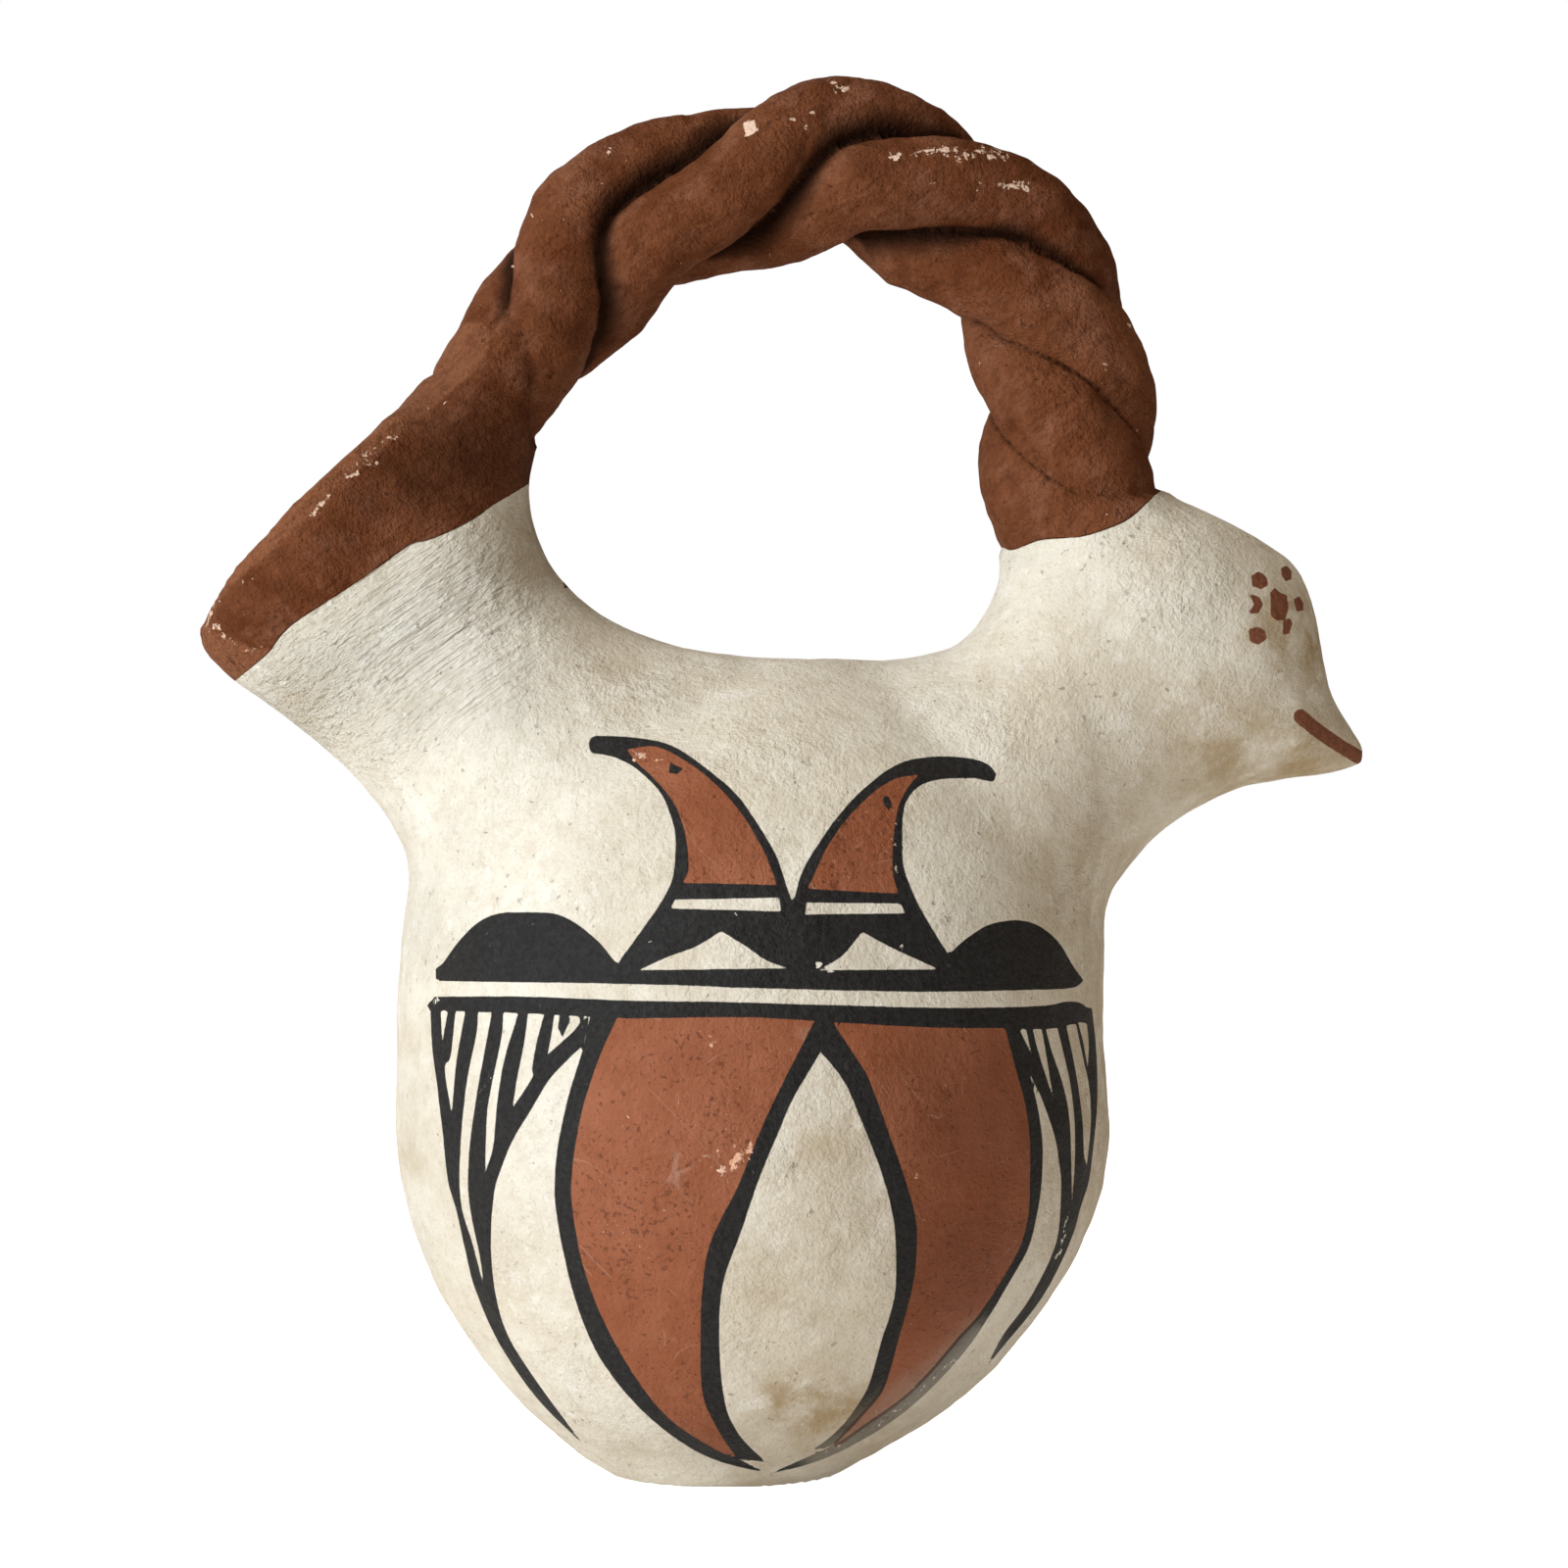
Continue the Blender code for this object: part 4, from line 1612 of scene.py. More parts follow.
def ragged_edge_group() -> Tree:
    """The edge of a brushed coat: its distance, shaken a little along the edge.

    Returns:
        A group that takes the Depth inside the coat, Shake and Softness, all in millimetres, and
        puts out the coat's Mask.
    """
    group = NodeGroup("ragged_edge", {"Depth": 0.0, "Shake": 0.12, "Softness": 0.06}, ("Mask",))
    sheet = group.sheet
    slow, quick = sheet.noise(3.0, 1, 0.5, 5.0), sheet.noise(0.7, 2, 0.6, 6.0)
    shaken = sheet.sum_up("SUBTRACT", sheet.add_share(quick, 0.9, slow), 0.95)
    depth = sheet.add_share(shaken, group.taken("Shake"), group.taken("Depth"))
    scaled = sheet.sum_up("DIVIDE", depth, group.taken("Softness"))
    group.put_out("Mask", sheet.step(scaled, -1.0, 1.0))
    return group.tree


def chips_group() -> Tree:
    """Ragged chips: fine noise that breaks through where the wear is strong.

    Returns:
        A group that takes Wear, and puts out a Mask of 0 to 1.
    """
    group = NodeGroup("worn_chips", {"Wear": 0.0}, ("Mask",))
    sheet = group.sheet
    lifted = sheet.add_share(group.taken("Wear"), 0.42, sheet.noise(1.0, 4, 0.7, 7.0))
    group.put_out("Mask", sheet.step(lifted, 0.80, 0.835))
    return group.tree


def scratches_group() -> Tree:
    """Hairline scratches: where drawn-out noise crosses its middle value, broken into lengths.

    Returns:
        A group that puts out a Mask of 0 to 1.
    """
    group = NodeGroup("hairline_scratches", {}, ("Mask",))
    sheet = group.sheet
    found: list[Socket] = []
    for turn, pattern in ((50, 30.0), (-35, 31.0)):
        drawn = sheet.drawn_out(turn, (14.0, 1.0, 1.0))
        off = sheet.sum_up("SUBTRACT", sheet.noise(5, 0, 0.5, pattern, drawn), 0.5)
        line = sheet.step(sheet.sum_up("ABSOLUTE", off), 0.003, 0.008, 1.0, 0.0)
        found.append(sheet.times(line, sheet.clouds(9, 1, 0.5, pattern + 5, 0.56, 0.66)))
    group.put_out("Mask", sheet.sum_up("MAXIMUM", *found))
    return group.tree


@dataclass(frozen=True)
class Coat:
    """One coat of slip or paint.

    Args:
        thin: Its colour where it is thin or dusty.
        full: Its colour where it lies full.
        roughness: How matt it is.
        shake: How far its brushed edge strays, in millimetres.
        softness: How soft that edge is, in millimetres.
    """

    thin: Colour
    full: Colour
    roughness: float
    shake: float = 0.15
    softness: float = 0.08


CREAM = Coat((0.80, 0.765, 0.68), (0.70, 0.645, 0.535), 0.82)
HANDLE_RED = Coat((0.21, 0.074, 0.032), (0.125, 0.037, 0.013), 0.84, shake=0.35, softness=0.07)
LEAF_RED = Coat((0.335, 0.118, 0.060), (0.265, 0.082, 0.035), 0.6, shake=0.12)
FACE_RED = Coat((0.235, 0.082, 0.042), (0.155, 0.05, 0.025), 0.8, shake=0.32)
LINE_BLACK = Coat((0.027, 0.026, 0.026), (0.013, 0.0125, 0.013), 0.6, shake=0.17)
# Paler red-brown for the mouth's lip: a painted highlight on its lit edge, with some wear.
LIP_HIGHLIGHT_AND_WEAR = Coat((0.31, 0.128, 0.066), (0.25, 0.097, 0.046), 0.8, shake=0.9, softness=0.5)
BARE_CLAY = Coat((0.42, 0.25, 0.15), (0.32, 0.17, 0.10), 0.92)

# Brown for staining and for painted shade on the cream.
STAIN_AND_SHADE_BROWN: Colour = (0.38, 0.26, 0.115)
DARK_GRIT: Colour = (0.20, 0.145, 0.095)
GREY_DUST: Colour = (0.47, 0.455, 0.41)
PALE_DUST: Colour = (0.88, 0.86, 0.81)
KILN_SMOKE: Colour = (0.58, 0.50, 0.38)
PINK_CHIP: Colour = (0.80, 0.58, 0.45)
SALMON_CHIP: Colour = (0.80, 0.43, 0.28)
# Near black for the painted shade in the handle's crevices, with some sooty dirt, and for smoke.
SHADE_AND_SOOT: Colour = (0.018, 0.006, 0.0025)


class ClayMaterial:
    """A clay material under way: its sheet and shader, and the grain and pits that all clay has."""

    def __init__(self, name: str, finish: "PotFinish", pits: tuple[float, float, float]) -> None:
        """Starts the material on Object coordinates.

        Args:
            name: The material's name.
            finish: The finish, whose node groups it uses.
            pits: Size, rarity and pattern of its pits.
        """
        self.material = bpy.data.materials.new(name)
        self.material.use_nodes = True
        self.finish = finish
        self.sheet = NodeSheet(self.material.node_tree)
        self.shader = self.material.node_tree.nodes["Principled BSDF"]
        self.shader.location = (2300, 0)
        self.sheet.where = self.sheet.add("TexCoord").outputs["Object"]
        grain = self.sheet.place(finish.grain)
        self.mottle, self.grit = grain.outputs["Mottle"], grain.outputs["Grit"]
        self.pits = self.specks(*pits)

    def specks(self, size: float, rarity: float, pattern: float) -> Socket:
        """Mask of specks of a size in millimetres."""
        return self.sheet.place(self.finish.specks, Size=size, Rarity=rarity, Pattern=pattern).outputs[0]

    def mask(self, paint: Paint, coat: Coat) -> Socket:
        """Where a coat lies, from its attribute and its ragged edge."""
        depth = self.sheet.attribute(paint)
        edge = self.sheet.place(self.finish.edge, Depth=depth, Shake=coat.shake, Softness=coat.softness)
        return edge.outputs[0]

    def broken(self, trace: Trace) -> Socket:
        """Where a trace of wear has broken through."""
        return self.sheet.place(self.finish.chips, Wear=self.sheet.attribute(trace)).outputs[0]

    def less(self, mask: Socket, broken: Socket) -> Socket:
        """A mask less what is broken out of it."""
        return self.sheet.times(mask, self.sheet.sum_up("SUBTRACT", 1.0, broken, clamp=True))

    def towards(self, share: Socket, first: object, second: float) -> Socket:
        """A number that goes from the first to the second by the share."""
        return self.sheet.add_share(share, self.sheet.sum_up("SUBTRACT", second, first), first)

    def dress(self, colour: Socket, rough: Socket, height: Socket) -> None:
        """Gives the shader its looks.

        Args:
            colour: Its colour.
            rough: Its roughness.
            height: The height of its relief, in millimetres.
        """
        bump = self.sheet.add("Bump")
        bump.inputs["Distance"].default_value = MILLIMETRE
        self.sheet.feed(bump.inputs["Height"], height)
        self.sheet.feed(self.shader.inputs["Base Color"], colour)
        self.sheet.feed(self.shader.inputs["Roughness"], rough)
        self.sheet.feed(self.shader.inputs["Normal"], bump.outputs["Normal"])

    def brushed(self, times_long: float) -> Socket:
        """Coordinates drawn out along the brush's way over the tail, rising to the front."""
        return self.sheet.drawn_out(-35, (times_long, 1.5, 1.0))

    def cream(self) -> Socket:
        """The cream slip: mottled, faintly smoky, with staining from handling and soil and with
        painted shade on the head and the body's right side, and speckled.

        Returns:
            Its colour.
        """
        sheet = self.sheet
        colour = sheet.mix(self.mottle, CREAM.full, CREAM.thin)
        smoke = sheet.step(sheet.noise(30, 3, 0.6, 9.0), 0.46, 0.74, 0.0, 0.32)
        colour = sheet.mix(smoke, colour, KILN_SMOKE)
        worn_dust = sheet.step(self.mottle, -0.6, 0.9, 1.0, 0.6)
        colour = sheet.mix(sheet.times(sheet.attribute(Trace.GREYED), worn_dust), colour, GREY_DUST)
        # Staining and painted shade, laid on the cream in brown through clouds.
        spread = sheet.clouds(6.0, 4, 0.65, 10.0, 0.27, 0.66)
        stain_and_shade = sheet.sum_up("MULTIPLY", sheet.attribute(Trace.STAIN_AND_SHADE), spread, clamp=True)
        return sheet.layers(
            colour,
            (stain_and_shade, 0.88, STAIN_AND_SHADE_BROWN),
            (sheet.clouds(0.45, 2, 0.6, 12.0, 0.54, 0.70), 0.30, (0.40, 0.32, 0.20)),
            (sheet.clouds(2.6, 3, 0.7, 13.0, 0.46, 0.68), 0.22, (0.43, 0.35, 0.225)),
            (self.pits, 0.45, DARK_GRIT),
            (self.specks(1.4, 0.75, 43.0), 0.8, DARK_GRIT),
            (self.specks(3.2, 0.62, 44.0), 0.3, PALE_DUST),
            (self.grit, 0.10, (0.90, 0.87, 0.81)),
        )

    def leaf_red(self) -> Socket:
        """The orange-red paint: dark and pale specks in it, and hairline scratches across it.

        Returns:
            Its colour.
        """
        sheet = self.sheet
        speckled = sheet.layers(
            sheet.mix(self.mottle, LEAF_RED.full, LEAF_RED.thin),
            (self.specks(0.7, 0.61, 45.0), 0.6, (0.10, 0.03, 0.016)),
            (self.specks(0.7, 0.71, 46.0), 0.5, (0.62, 0.42, 0.32)),
        )
        return sheet.layers(
            # Painted shade: the leaf red is mixed towards near black under the marks of smoke and painted
            # shade, on the right leaf.
            sheet.mix(sheet.attribute(Trace.DARKENED), speckled, (0.06, 0.018, 0.007)),
            (sheet.place(self.finish.scratches).outputs[0], 0.16, (0.66, 0.50, 0.42)),
            (self.grit, 0.15, LEAF_RED.thin),
        )

    def black(self) -> Socket:
        """The black paint, with small pale places that the brush missed."""
        paint = self.sheet.mix(self.grit, LINE_BLACK.full, LINE_BLACK.thin)
        return self.sheet.over(paint, self.specks(0.6, 0.70, 41.0), 0.5, (0.16, 0.14, 0.12))

    def handle_red(self) -> Socket:
        """The handle's red-brown slip: dusty in patches, with a painted highlight and wear along the
        mouth's lip, dark in its pits, and with painted shade and sooty dirt in its crevices.

        Returns:
            Its colour.
        """
        sheet = self.sheet
        # Painted highlight with some wear: the slip is paler along the mouth's lip.
        lip_highlight = sheet.mix(self.grit, LIP_HIGHLIGHT_AND_WEAR.full, LIP_HIGHLIGHT_AND_WEAR.thin)
        streaks = sheet.step(sheet.noise(0.9, 3, 0.65, 18.0, self.brushed(5.0)), 0.44, 0.70)
        colour = sheet.layers(
            sheet.mix(self.mottle, HANDLE_RED.full, HANDLE_RED.thin),
            (sheet.clouds(7.0, 4, 0.7, 17.0, 0.46, 0.66), 0.55, (0.27, 0.115, 0.066)),
            (self.mask(Paint.LIP, LIP_HIGHLIGHT_AND_WEAR), 0.7, lip_highlight),
            (streaks, 0.42, (0.075, 0.022, 0.009)),
            (sheet.clouds(0.5, 2, 0.65, 19.0, 0.50, 0.72), 0.35, (0.062, 0.019, 0.008)),
            (self.pits, 0.6, (0.045, 0.016, 0.009)),
            (self.specks(0.8, 0.735, 47.0), 0.7, (0.60, 0.44, 0.33)),
        )
        # Painted shade: the handle's crevices and the hollow under its root are mixed towards near black,
        # with some sooty dirt and smoke.
        return sheet.mix(sheet.attribute(Trace.DARKENED), colour, SHADE_AND_SOOT)

    def slip_relief(self) -> Socket:
        """The red-brown slip's own relief in millimetres: sandy grain, crumbs and small dents."""
        sheet = self.sheet
        crumbs = sheet.times(sheet.noise(2.0, 4, 0.74, 23.0), 1.15)
        sand = sheet.times(sheet.noise(0.5, 1, 0.6, 24.0), 0.26)
        return sheet.sum_up("ADD", crumbs, sheet.add_share(self.grit, 0.06, sand))

    def relief(self) -> Socket:
        """Fine relief in millimetres: grit, pits, patchy lumps, and brush ridges along the tail.

        Returns:
            Its height.
        """
        sheet = self.sheet
        ridges = sheet.noise(0.95, 3, 0.65, 20.0, self.brushed(13.0))
        ridges = sheet.times(sheet.times(ridges, sheet.attribute(Trace.BRUSHED)), 2.4)
        patches = sheet.step(sheet.noise(13, 2, 0.5, 22.0), 0.35, 0.7, 0.35, 1.0)
        lumps = sheet.times(sheet.times(sheet.noise(2.0, 4, 0.72, 21.0), patches), 0.95)
        height = sheet.add_share(self.grit, 0.09, sheet.sum_up("ADD", lumps, ridges))
        return sheet.add_share(self.pits, -0.16, height)


class PotFinish:
    """The pot's two materials: the slipped and painted outside, and the bare clay inside."""

    def __init__(self) -> None:
        """Builds the node groups that the materials share."""
        self.specks = specks_group()
        self.grain = grain_group()
        self.edge = ragged_edge_group()
        self.chips = chips_group()
        self.scratches = scratches_group()

    def outside(self) -> Material:
        """Cream slip, red-brown slip, and the painting in red and black, with its wear.

        Each coat is mixed over the last by its mask: how far inside its edge the point lies,
        shaken a little, and broken by chips and specks.

        Returns:
            The material.
        """
        clay = ClayMaterial("slipped_and_painted_clay", self, (1.15, 0.685, 40.0))
        sheet = clay.sheet
        chips, scrapes = clay.broken(Trace.CHIPPED), clay.broken(Trace.SCRAPED)
        turned = sheet.attribute(Trace.TURNED_UNDER)
        leaf = clay.mask(Paint.LEAF_RED, LEAF_RED)
        leaf_shown = sheet.times(clay.less(leaf, scrapes), sheet.add_share(turned, -0.35, 1.0))
        black_shown = clay.less(clay.mask(Paint.BLACK, LINE_BLACK), scrapes)
        slip = clay.mask(Paint.RED_SLIP, HANDLE_RED)
        slip_shown = clay.less(slip, chips)

        bared = sheet.mix(leaf, CREAM.thin, SALMON_CHIP)
        bare_share = sheet.times(scrapes, sheet.step(clay.mottle, 0.3, 0.7, 0.5, 0.9))
        colour = sheet.mix(bare_share, clay.cream(), bared)
        colour = sheet.mix(leaf_shown, colour, clay.leaf_red())
        colour = sheet.mix(sheet.times(black_shown, sheet.add_share(turned, -0.4, 1.0)), colour, clay.black())
        face = sheet.mix(clay.grit, FACE_RED.thin, FACE_RED.full)
        colour = sheet.mix(clay.mask(Paint.FACE, FACE_RED), colour, face)
        colour = sheet.mix(slip, colour, PINK_CHIP)
        colour = sheet.mix(slip_shown, colour, clay.handle_red())

        rough = sheet.add_share(clay.grit, 0.10, CREAM.roughness - 0.05)
        for mask, coat in ((leaf_shown, LEAF_RED), (black_shown, LINE_BLACK), (slip_shown, HANDLE_RED)):
            rough = clay.towards(mask, rough, coat.roughness)
        on_slip = sheet.step(sheet.attribute(Paint.RED_SLIP), -0.1, 0.2)
        clay.dress(colour, rough, sheet.add_share(clay.slip_relief(), on_slip, clay.relief()))
        sheen = clay.towards(sheet.sum_up("MAXIMUM", leaf_shown, black_shown), 0.30, 0.16)
        sheet.feed(clay.shader.inputs["Specular IOR Level"], clay.towards(slip_shown, sheen, 0.06))
        return clay.material

    def inside(self) -> Material:
        """Bare fired clay with grit, and the red-brown slip that laps over the mouth's rim.

        Returns:
            The material.
        """
        clay = ClayMaterial("bare_fired_clay", self, (1.6, 0.64, 42.0))
        sheet = clay.sheet
        colour = sheet.layers(
            sheet.mix(clay.mottle, BARE_CLAY.full, BARE_CLAY.thin),
            (clay.grit, 0.3, (0.50, 0.38, 0.27)),
            (clay.pits, 0.6, (0.13, 0.08, 0.05)),
        )
        colour = sheet.mix(clay.mask(Paint.RIM, HANDLE_RED), colour, clay.handle_red())
        rough = sheet.add_share(clay.grit, 0.06, BARE_CLAY.roughness - 0.04)
        height = sheet.sum_up("SUBTRACT", sheet.times(clay.grit, 0.16), sheet.times(clay.pits, 0.3))
        clay.dress(colour, rough, height)
        clay.shader.inputs["Specular IOR Level"].default_value = 0.25
        return clay.material


@dataclass
class BirdPot:
    """The whole pot: its skin, its hollow, its painting and its finish.

    Args:
        name: Name of the finished piece.
        cell: Size of the outer skin's faces, before some are split.
        hollow_cell: Size of the hollow's faces.
        form_ease: Easing steps where body, tail, neck and head meet.
        coil_ease: Easing steps where the coils meet.
        hollow_ease: Easing steps inside.
        split_ease: Easing steps over the split faces.
        coil_reach: How near the coils faces are split, in metres.
        edge_reach: How near a painted edge faces are split, in picture points.
        fine_reach: How near a small painted mark's edge they are split again.
        crevice_reach: How much farther the next coil is, at most, where they are split again.
        kept_depth: Farthest distance from a painted edge that is kept, in millimetres.
        least_facing: How squarely the skin faces the picture, at least, where depths are kept.
        slip_edge: Half width of the red slip's edge for the hands' work, in picture points.
        foot_rise: Heights between which the hands' work comes in above the foot.
        rim_round: How far from the mouth's rim it is rounded.
        rim_steps: Easing steps that round it.
        rim_lap: How far the red slip laps over it, in millimetres.
        rim_reach: Farthest distance from it that is kept, in metres.
        sight: Lines of sight to the picture.
        handle: The twisted handle.
        design: The painted design.
    """

    name: str = "painted_bird_pot"
    cell: float = 0.00168
    hollow_cell: float = 0.0028
    form_ease: int = 4
    coil_ease: int = 1
    hollow_ease: int = 3
    split_ease: int = 3
    coil_reach: float = 0.0010
    edge_reach: float = 6.5
    fine_reach: float = 3.0
    crevice_reach: float = 0.0009
    kept_depth: float = 3.0
    least_facing: float = 0.25
    slip_edge: float = 4.0
    foot_rise: tuple[float, float] = (0.0005, 0.003)
    rim_round: float = 0.0011
    rim_steps: int = 8
    rim_lap: float = 3.2
    rim_reach: float = 0.008
    sight: SightLines = field(default_factory=SightLines)
    handle: TwistedHandle = field(default_factory=TwistedHandle)
    design: Design = field(default_factory=Design)

    def build(self, finish: PotFinish) -> Object:
        """Builds and dresses the pot.

        Args:
            finish: The pot's materials.

        Returns:
            The finished piece.
        """
        pot = self._split_near_detail(self._outer_skin())
        self._shape_by_hand(pot)
        pot.data.materials.append(finish.outside())
        self._hollow_out(pot, finish.inside())
        rim_gap = self._round_rim(pot)
        self._keep_in_box(pot)
        self._paint(pot, rim_gap)
        pot.data.shade_smooth()
        return pot

    def _outer_skin(self) -> Object:
        """The forms fused and eased, and the coils fused on.

        Returns:
            The fused skin, under a name of its own.
        """
        forms = [BodyForm().skin(), *(form.skin() for form in (TAIL, NECK_AND_HEAD, TAIL_STEM, NECK_STEM))]
        body = Skin.together(forms).as_object("forms")
        fuse(body, self.cell, self.form_ease)
        joined = Skin.together([Skin.of_mesh(body.data), self.handle.skin()])
        bpy.data.objects.remove(body)
        pot = joined.as_object("forms_and_coils")
        fuse(pot, self.cell, self.coil_ease)
        return pot

    def _split_near_detail(self, coarse: Object) -> Object:
        """Splits the skin's faces on the coils and along the painted edges, and eases them.

        Args:
            coarse: The fused skin, which is removed.

        Returns:
            The finer skin, under the piece's own name.
        """
        fine = FineSkin(corner_places(coarse.data), four_corners(coarse.data))
        bpy.data.objects.remove(coarse)
        on_coils = self.handle.least_gap(fine.places) < self.coil_reach
        on_edge = self._edge_gap(fine.places) < self.edge_reach
        fine = fine.split(fine.over_faces(on_coils | on_edge))
        near = fine.places[:, 1] < 0
        on_mark = (self._small_mark_gap(fine.places) < self.fine_reach) & near
        on_mark |= self._on_horns(fine.places) & near
        in_crevice = self.handle.beside_crevice(fine.places, self.crevice_reach)
        fine = fine.split(fine.over_faces(on_mark | in_crevice))
        pot = fine.skin().as_object(self.name)
        ease_corners(pot.data, np.full(len(fine.places), 0.5), self.split_ease)
        return pot

    def _edge_gap(self, places: Numbers) -> Numbers:
        """Distance in picture points of each place from the nearest painted edge."""
        gaps = self._coat_gaps(places)
        brushed = (Paint.RED_SLIP, Paint.LEAF_RED, Paint.BLACK, Paint.FACE)
        return np.abs([gaps[paint] for paint in brushed]).min(axis=0)

    def _on_horns(self, places: Numbers) -> Truths:
        """Whether each place lies along the thin outlines of the two horns."""
        seen = self.sight.seen(places)
        low, high = (np.array(corner) for corner in self.design.horns_box)
        on_edge = np.abs(self._coat_gaps(places)[Paint.BLACK]) < self.fine_reach
        return on_edge & ((seen > low) & (seen < high)).all(axis=1)

    def _small_mark_gap(self, places: Numbers) -> Numbers:
        """Distance in picture points of each place from the edge of the nearest small mark."""
        design = self.design
        marks = [*design.bare_bars(), *design.bare_slivers(), *design.small_touches(), *Face.dots]
        seen = self.sight.seen(places)
        return np.min([np.abs(mark.gap(seen)) for mark in marks], axis=0)

    def _shape_by_hand(self, pot: Object) -> None:
        """Rounds the coils, presses their crevices, and gives the clay its hand work and foot.

        Args:
            pot: The pot.
        """
        mesh = pot.data
        bare = self.handle.bareness(corner_places(mesh))
        on = bare > 0
        for _ in range(self.handle.rounds):
            ease_corners(mesh, 0.5 * bare, 1)
            places = corner_places(mesh)
            places[on] = self.handle.onto_coils(places[on], bare[on])
            move_corners(mesh, places)
        normals = corner_normals(mesh)[on]
        places[on] -= normals * (bare[on] * self.handle.cut(places[on]))[:, None]
        move_corners(mesh, places)
        seen = self.sight.seen(places)
        slipped = eased_step(-RedSlip().mark().gap(seen), -self.slip_edge, self.slip_edge)
        above_foot = eased_step(places[:, 2], *self.foot_rise)
        grown = HandWork().height(places, seen, slipped) * above_foot
        places += corner_normals(mesh) * grown[:, None]
        places[:, 2] = np.maximum(places[:, 2], 0.0)
        move_corners(mesh, places)

    def _hollow_out(self, pot: Object, clay: Material) -> None:
        """Cuts the hollow out through the mouth, and leaves its wall in bare clay.

        Args:
            pot: The pot.
            clay: The material of the hollow's wall.
        """
        body = BodyForm().skin(WALL, FLOOR_THICKNESS)
        forms = [body, TAIL.skin(WALL, beyond=2 * WALL), NECK_HOLLOW.skin(WALL)]
        hollow = Skin.together(forms).as_object("hollow")
        fuse(hollow, self.hollow_cell, self.hollow_ease)
        hollow.data.materials.append(clay)
        cut = pot.modifiers.new("hollow", "BOOLEAN")
        cut.operation = "DIFFERENCE"
        cut.solver = "EXACT"
        cut.material_mode = "TRANSFER"
        cut.object = hollow
        settle(pot)
        bpy.data.objects.remove(hollow)

    def _round_rim(self, pot: Object) -> Numbers:
        """Rounds the mouth's rim, where the outside meets the hollow's wall.

        Args:
            pot: The pot.

        Returns:
            Distance of each corner from the rim, in metres, large where it is far.
        """
        mesh = pot.data
        of_loops = read(mesh.loops, "vertex_index", 1, np.int32).ravel()
        finish = read(mesh.polygons, "material_index", 1, np.int32).ravel()
        sides = read(mesh.polygons, "loop_total", 1, np.int32).ravel()
        inner = np.repeat(finish, sides) == 1
        rim = np.intersect1d(of_loops[inner], of_loops[~inner])
        places = corner_places(mesh)
        far = self.rim_reach
        low, high = places[rim].min(axis=0) - far, places[rim].max(axis=0) + far
        close = np.flatnonzero(((places > low) & (places < high)).all(axis=1))
        gap = np.full(len(places), far)
        steps = places[close][:, None] - places[rim][None]
        gap[close] = np.linalg.norm(steps, axis=2).min(axis=1)
        ease_corners(mesh, 0.5 * bell(gap, self.rim_round), self.rim_steps)
        return gap

    def _keep_in_box(self, pot: Object) -> None:
        """Keeps the skin within the frame's box."""
        low, high = (np.array(corner) for corner in CAD_BOX)
        move_corners(pot.data, np.clip(corner_places(pot.data), low, high))

    def _coat_gaps(self, places: Numbers) -> dict[Paint, Numbers]:
        """How far each place lies from the edge of each coat.

        Args:
            places: Places in metres, one row each.

        Returns:
            For each coat its distances in picture points, below zero inside it.
        """
        seen = self.sight.seen(places)
        near = places[:, 1] < 0
        design = self.design
        bare = nearest([*design.bare_bars(), *design.bare_slivers(), *design.red_fills()], seen)
        black = np.maximum(nearest(design.black_marks(), seen), -bare)
        black = np.minimum(black, design.band().gap(seen))
        touches = nearest(design.small_touches(), seen)
        return {
            Paint.RED_SLIP: RedSlip().mark().gap(seen),
            Paint.LIP: RedSlip().lip().gap(seen),
            Paint.LEAF_RED: nearest(design.red_fills(), seen) - design.under_stroke,
            Paint.BLACK: np.where(near, np.minimum(black, touches), black),
            Paint.FACE: nearest(Face().marks(), seen),
        }

    def _paint(self, pot: Object, rim_gap: Numbers) -> None:
        """Keeps each coat's depth inside its edge, and each trace's strength, on the skin.

        A depth is the picture's distance over how squarely the skin faces the picture.

        Args:
            pot: The pot.
            rim_gap: Distance of each corner from the mouth's rim, in metres.
        """
        places = corner_places(pot.data)
        seen = self.sight.seen(places)
        near = places[:, 1] < 0
        slant = np.clip(np.abs(corner_normals(pot.data)[:, 1]), self.least_facing, 1.0)
        for paint, gap in self._coat_gaps(places).items():
            depth = -gap * POINT / MILLIMETRE / slant
            self._keep(pot, paint, np.clip(depth, -self.kept_depth, self.kept_depth))
        self._keep(pot, Paint.RIM, self.rim_lap - rim_gap / MILLIMETRE)
        traces = {
            Trace.CHIPPED: Wear.chips.shown(seen) * near,
            Trace.SCRAPED: Wear.scrapes.shown(seen) * near,
            # Staining, and painted shade on the head and the body's right side.
            Trace.STAIN_AND_SHADE: Wear.stains_and_shade.shown(seen),
            # Painted shade: the crevices' shade with some sooty dirt, and the marks of smoke and painted
            # shade.
            Trace.DARKENED: np.maximum(self.handle.darkness(places), Wear.smoke_and_shade.shown(seen)),
            Trace.GREYED: Wear.greyed.shown(seen),
            Trace.TURNED_UNDER: Wear.turned_under.shown(seen) * near,
            Trace.BRUSHED: Wear.brushed.shown(seen),
        }
        for trace, strength in traces.items():
            self._keep(pot, trace, strength)

    def _keep(self, pot: Object, kept: Enum, values: Numbers) -> None:
        """Keeps one number for each corner of the skin under a coat's or a trace's name."""
        attribute = pot.data.attributes.new(kept.value, "FLOAT", "POINT")
        attribute.data.foreach_set("value", values.astype(np.float32))


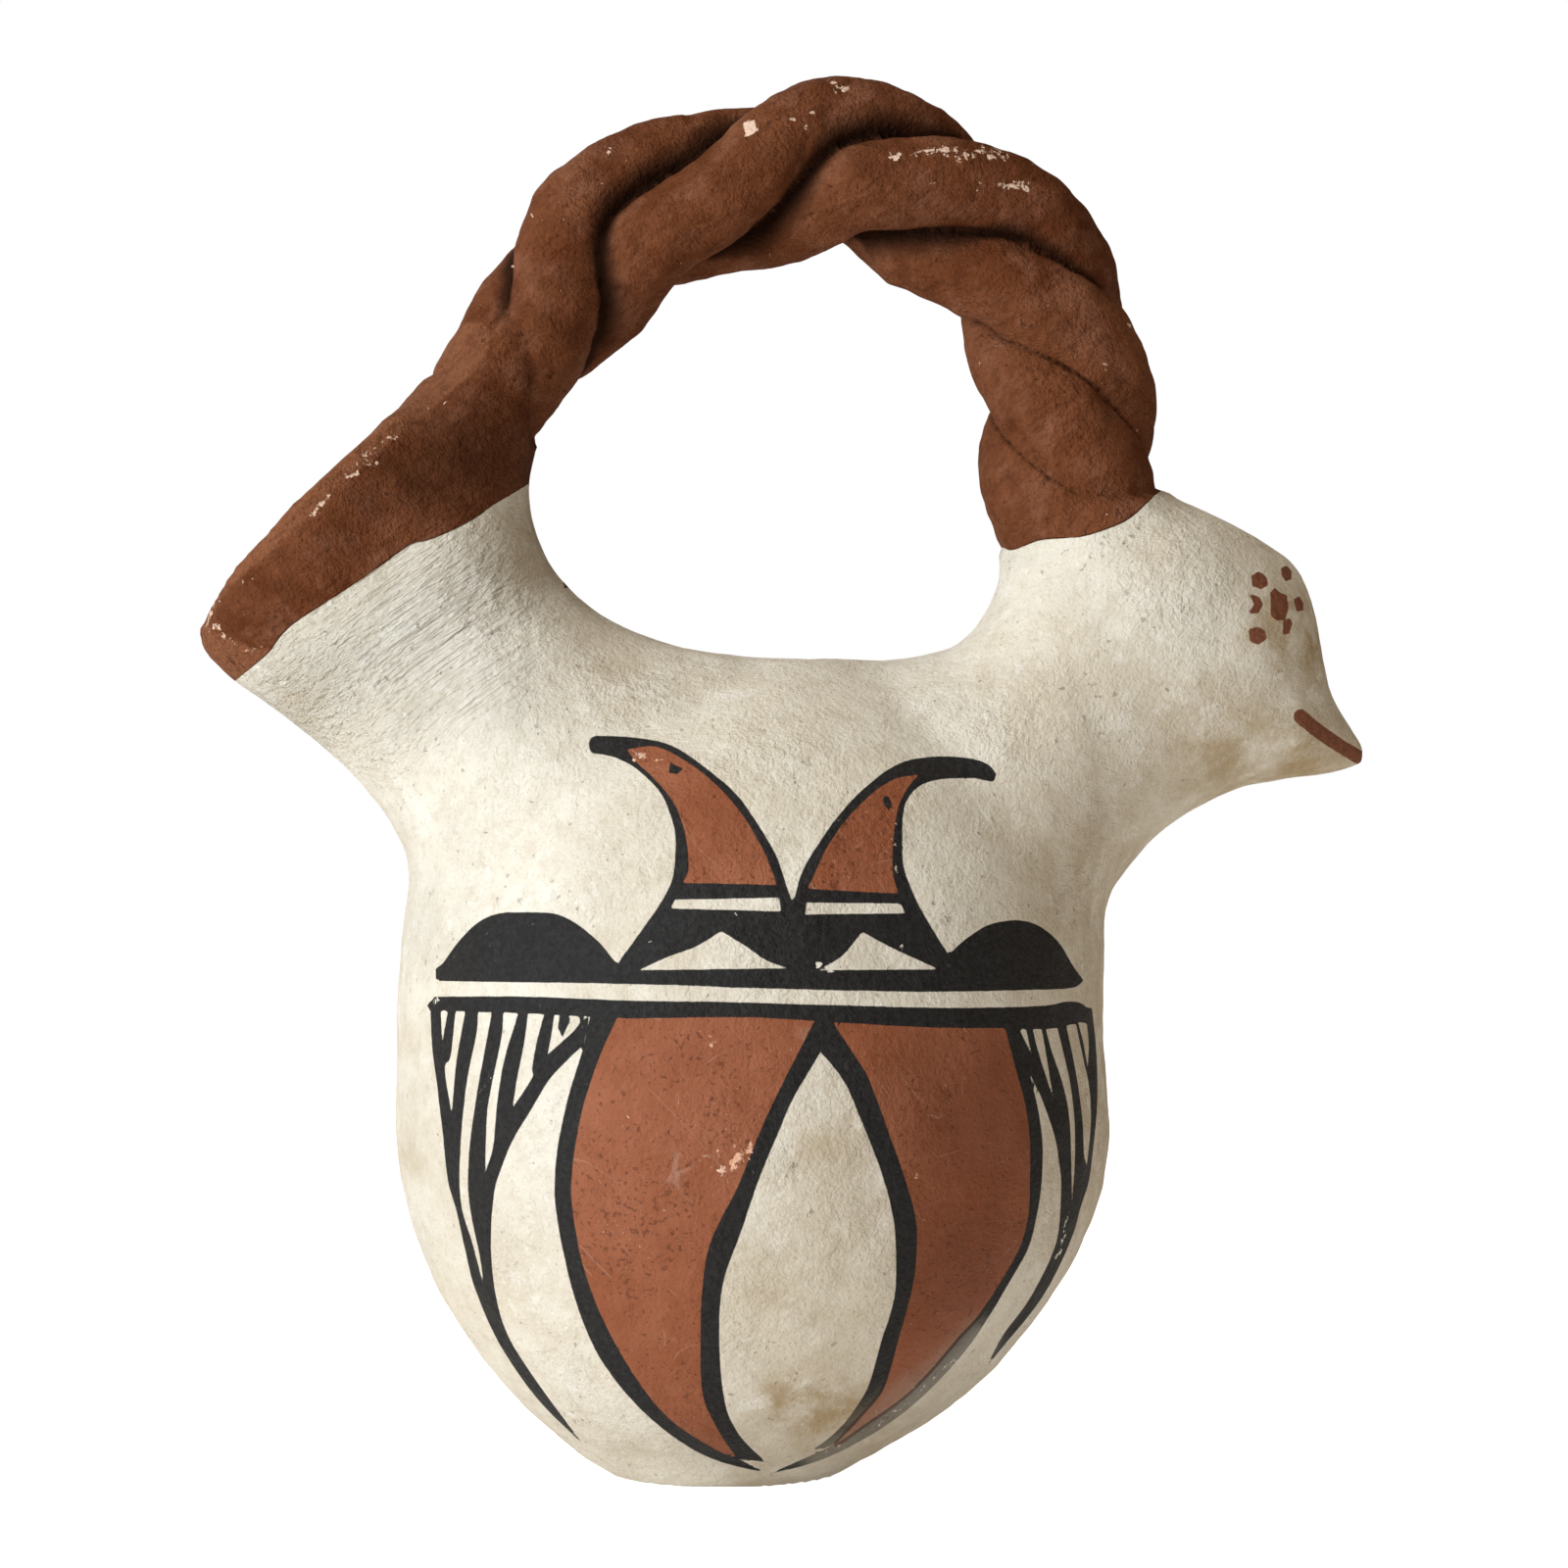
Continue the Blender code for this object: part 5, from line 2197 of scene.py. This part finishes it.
@dataclass(frozen=True)
class SoftLight:
    """A square soft light that looks at the middle of the pot.

    Args:
        name: Its name.
        place: Where it stands.
        size: Length of its sides.
        power: Its power in watts.
        colour: Its colour.
    """

    name: str
    place: tuple[float, float, float]
    size: float
    power: float
    colour: Colour

    def build(self) -> None:
        """Puts the light into the scene."""
        data = bpy.data.lights.new(self.name, "AREA")
        data.size = self.size
        data.energy = self.power
        data.color = self.colour
        light = bpy.data.objects.new(self.name, data)
        light.location = self.place
        middle = Vector((0, 0, HEIGHT / 2))
        light.rotation_euler = (middle - light.location).to_track_quat("-Z", "Y").to_euler()
        bpy.context.scene.collection.objects.link(light)


@dataclass
class Studio:
    """A pale floor and plain soft light, from the left and a little in front."""

    floor_size: float = 8.0
    floor_colour: Colour = (0.90, 0.87, 0.82)
    floor_glow: float = 0.78
    floor_fill: float = 0.20
    surroundings: Colour = (0.17, 0.13, 0.09)
    lights: tuple[SoftLight, ...] = (
        SoftLight("key", (-0.88, -0.74, 0.43), 0.8, 13.4, (0.94, 1.0, 1.055)),
        SoftLight("from_above", (-0.1, -0.2, 1.3), 0.7, 4.4, (1.04, 0.96, 0.8)),
        SoftLight("from_behind", (-0.5, 1.0, 0.8), 0.7, 4.0, (1.0, 0.97, 0.92)),
    )

    def build(self) -> None:
        """Makes the floor, the surroundings, the lights and the camera."""
        self._floor()
        self._surroundings()
        for light in self.lights:
            light.build()
        SightLines().make_camera()

    def _floor(self) -> None:
        """A wide flat sheet under the foot, which shows nearly white and casts its own light back."""
        half = self.floor_size / 2
        across, along = np.meshgrid((-half, half), (-half, half))
        corners = np.stack((across.ravel(), along.ravel(), np.zeros(4)), axis=1)
        floor = Skin(corners, [[0, 1, 3, 2]]).as_object("floor")
        material = bpy.data.materials.new("pale_floor")
        material.use_nodes = True
        sheet = NodeSheet(material.node_tree)
        shader = material.node_tree.nodes["Principled BSDF"]
        shader.inputs["Base Color"].default_value = (*self.floor_colour, 1.0)
        shader.inputs["Roughness"].default_value = 0.9
        shader.inputs["Emission Color"].default_value = (1.0, 1.0, 1.0, 1.0)
        shown = sheet.add("LightPath").outputs["Is Camera Ray"]
        glow = sheet.sum_up("MULTIPLY_ADD", shown, self.floor_glow, self.floor_fill)
        sheet.feed(shader.inputs["Emission Strength"], glow)
        floor.data.materials.append(material)

    def _surroundings(self) -> None:
        """White behind the pot, and dimmer and warmer as light."""
        world = bpy.data.worlds.new("pale_room")
        bpy.context.scene.world = world
        world.use_nodes = True
        sheet = NodeSheet(world.node_tree)
        shader = world.node_tree.nodes["Background"]
        shown = sheet.add("LightPath").outputs["Is Camera Ray"]
        sheet.feed(shader.inputs["Color"], sheet.mix(shown, self.surroundings, (1.0, 1.0, 1.0)))


def main() -> None:
    """Builds the studio and the pot, and reports the piece."""
    logging.basicConfig(level=logging.INFO, format="%(name)s: %(message)s")
    bpy.context.scene.view_settings.view_transform = "Standard"
    Studio().build()
    pot = BirdPot().build(PotFinish())
    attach(pot, "root")
    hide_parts("pot_lower_body", "pot_tail_head_and_handle")
    pot.data.calc_loop_triangles()
    LOG.info("%s: %d triangles", pot.name, len(pot.data.loop_triangles))


if __name__ == "__main__":
    main()
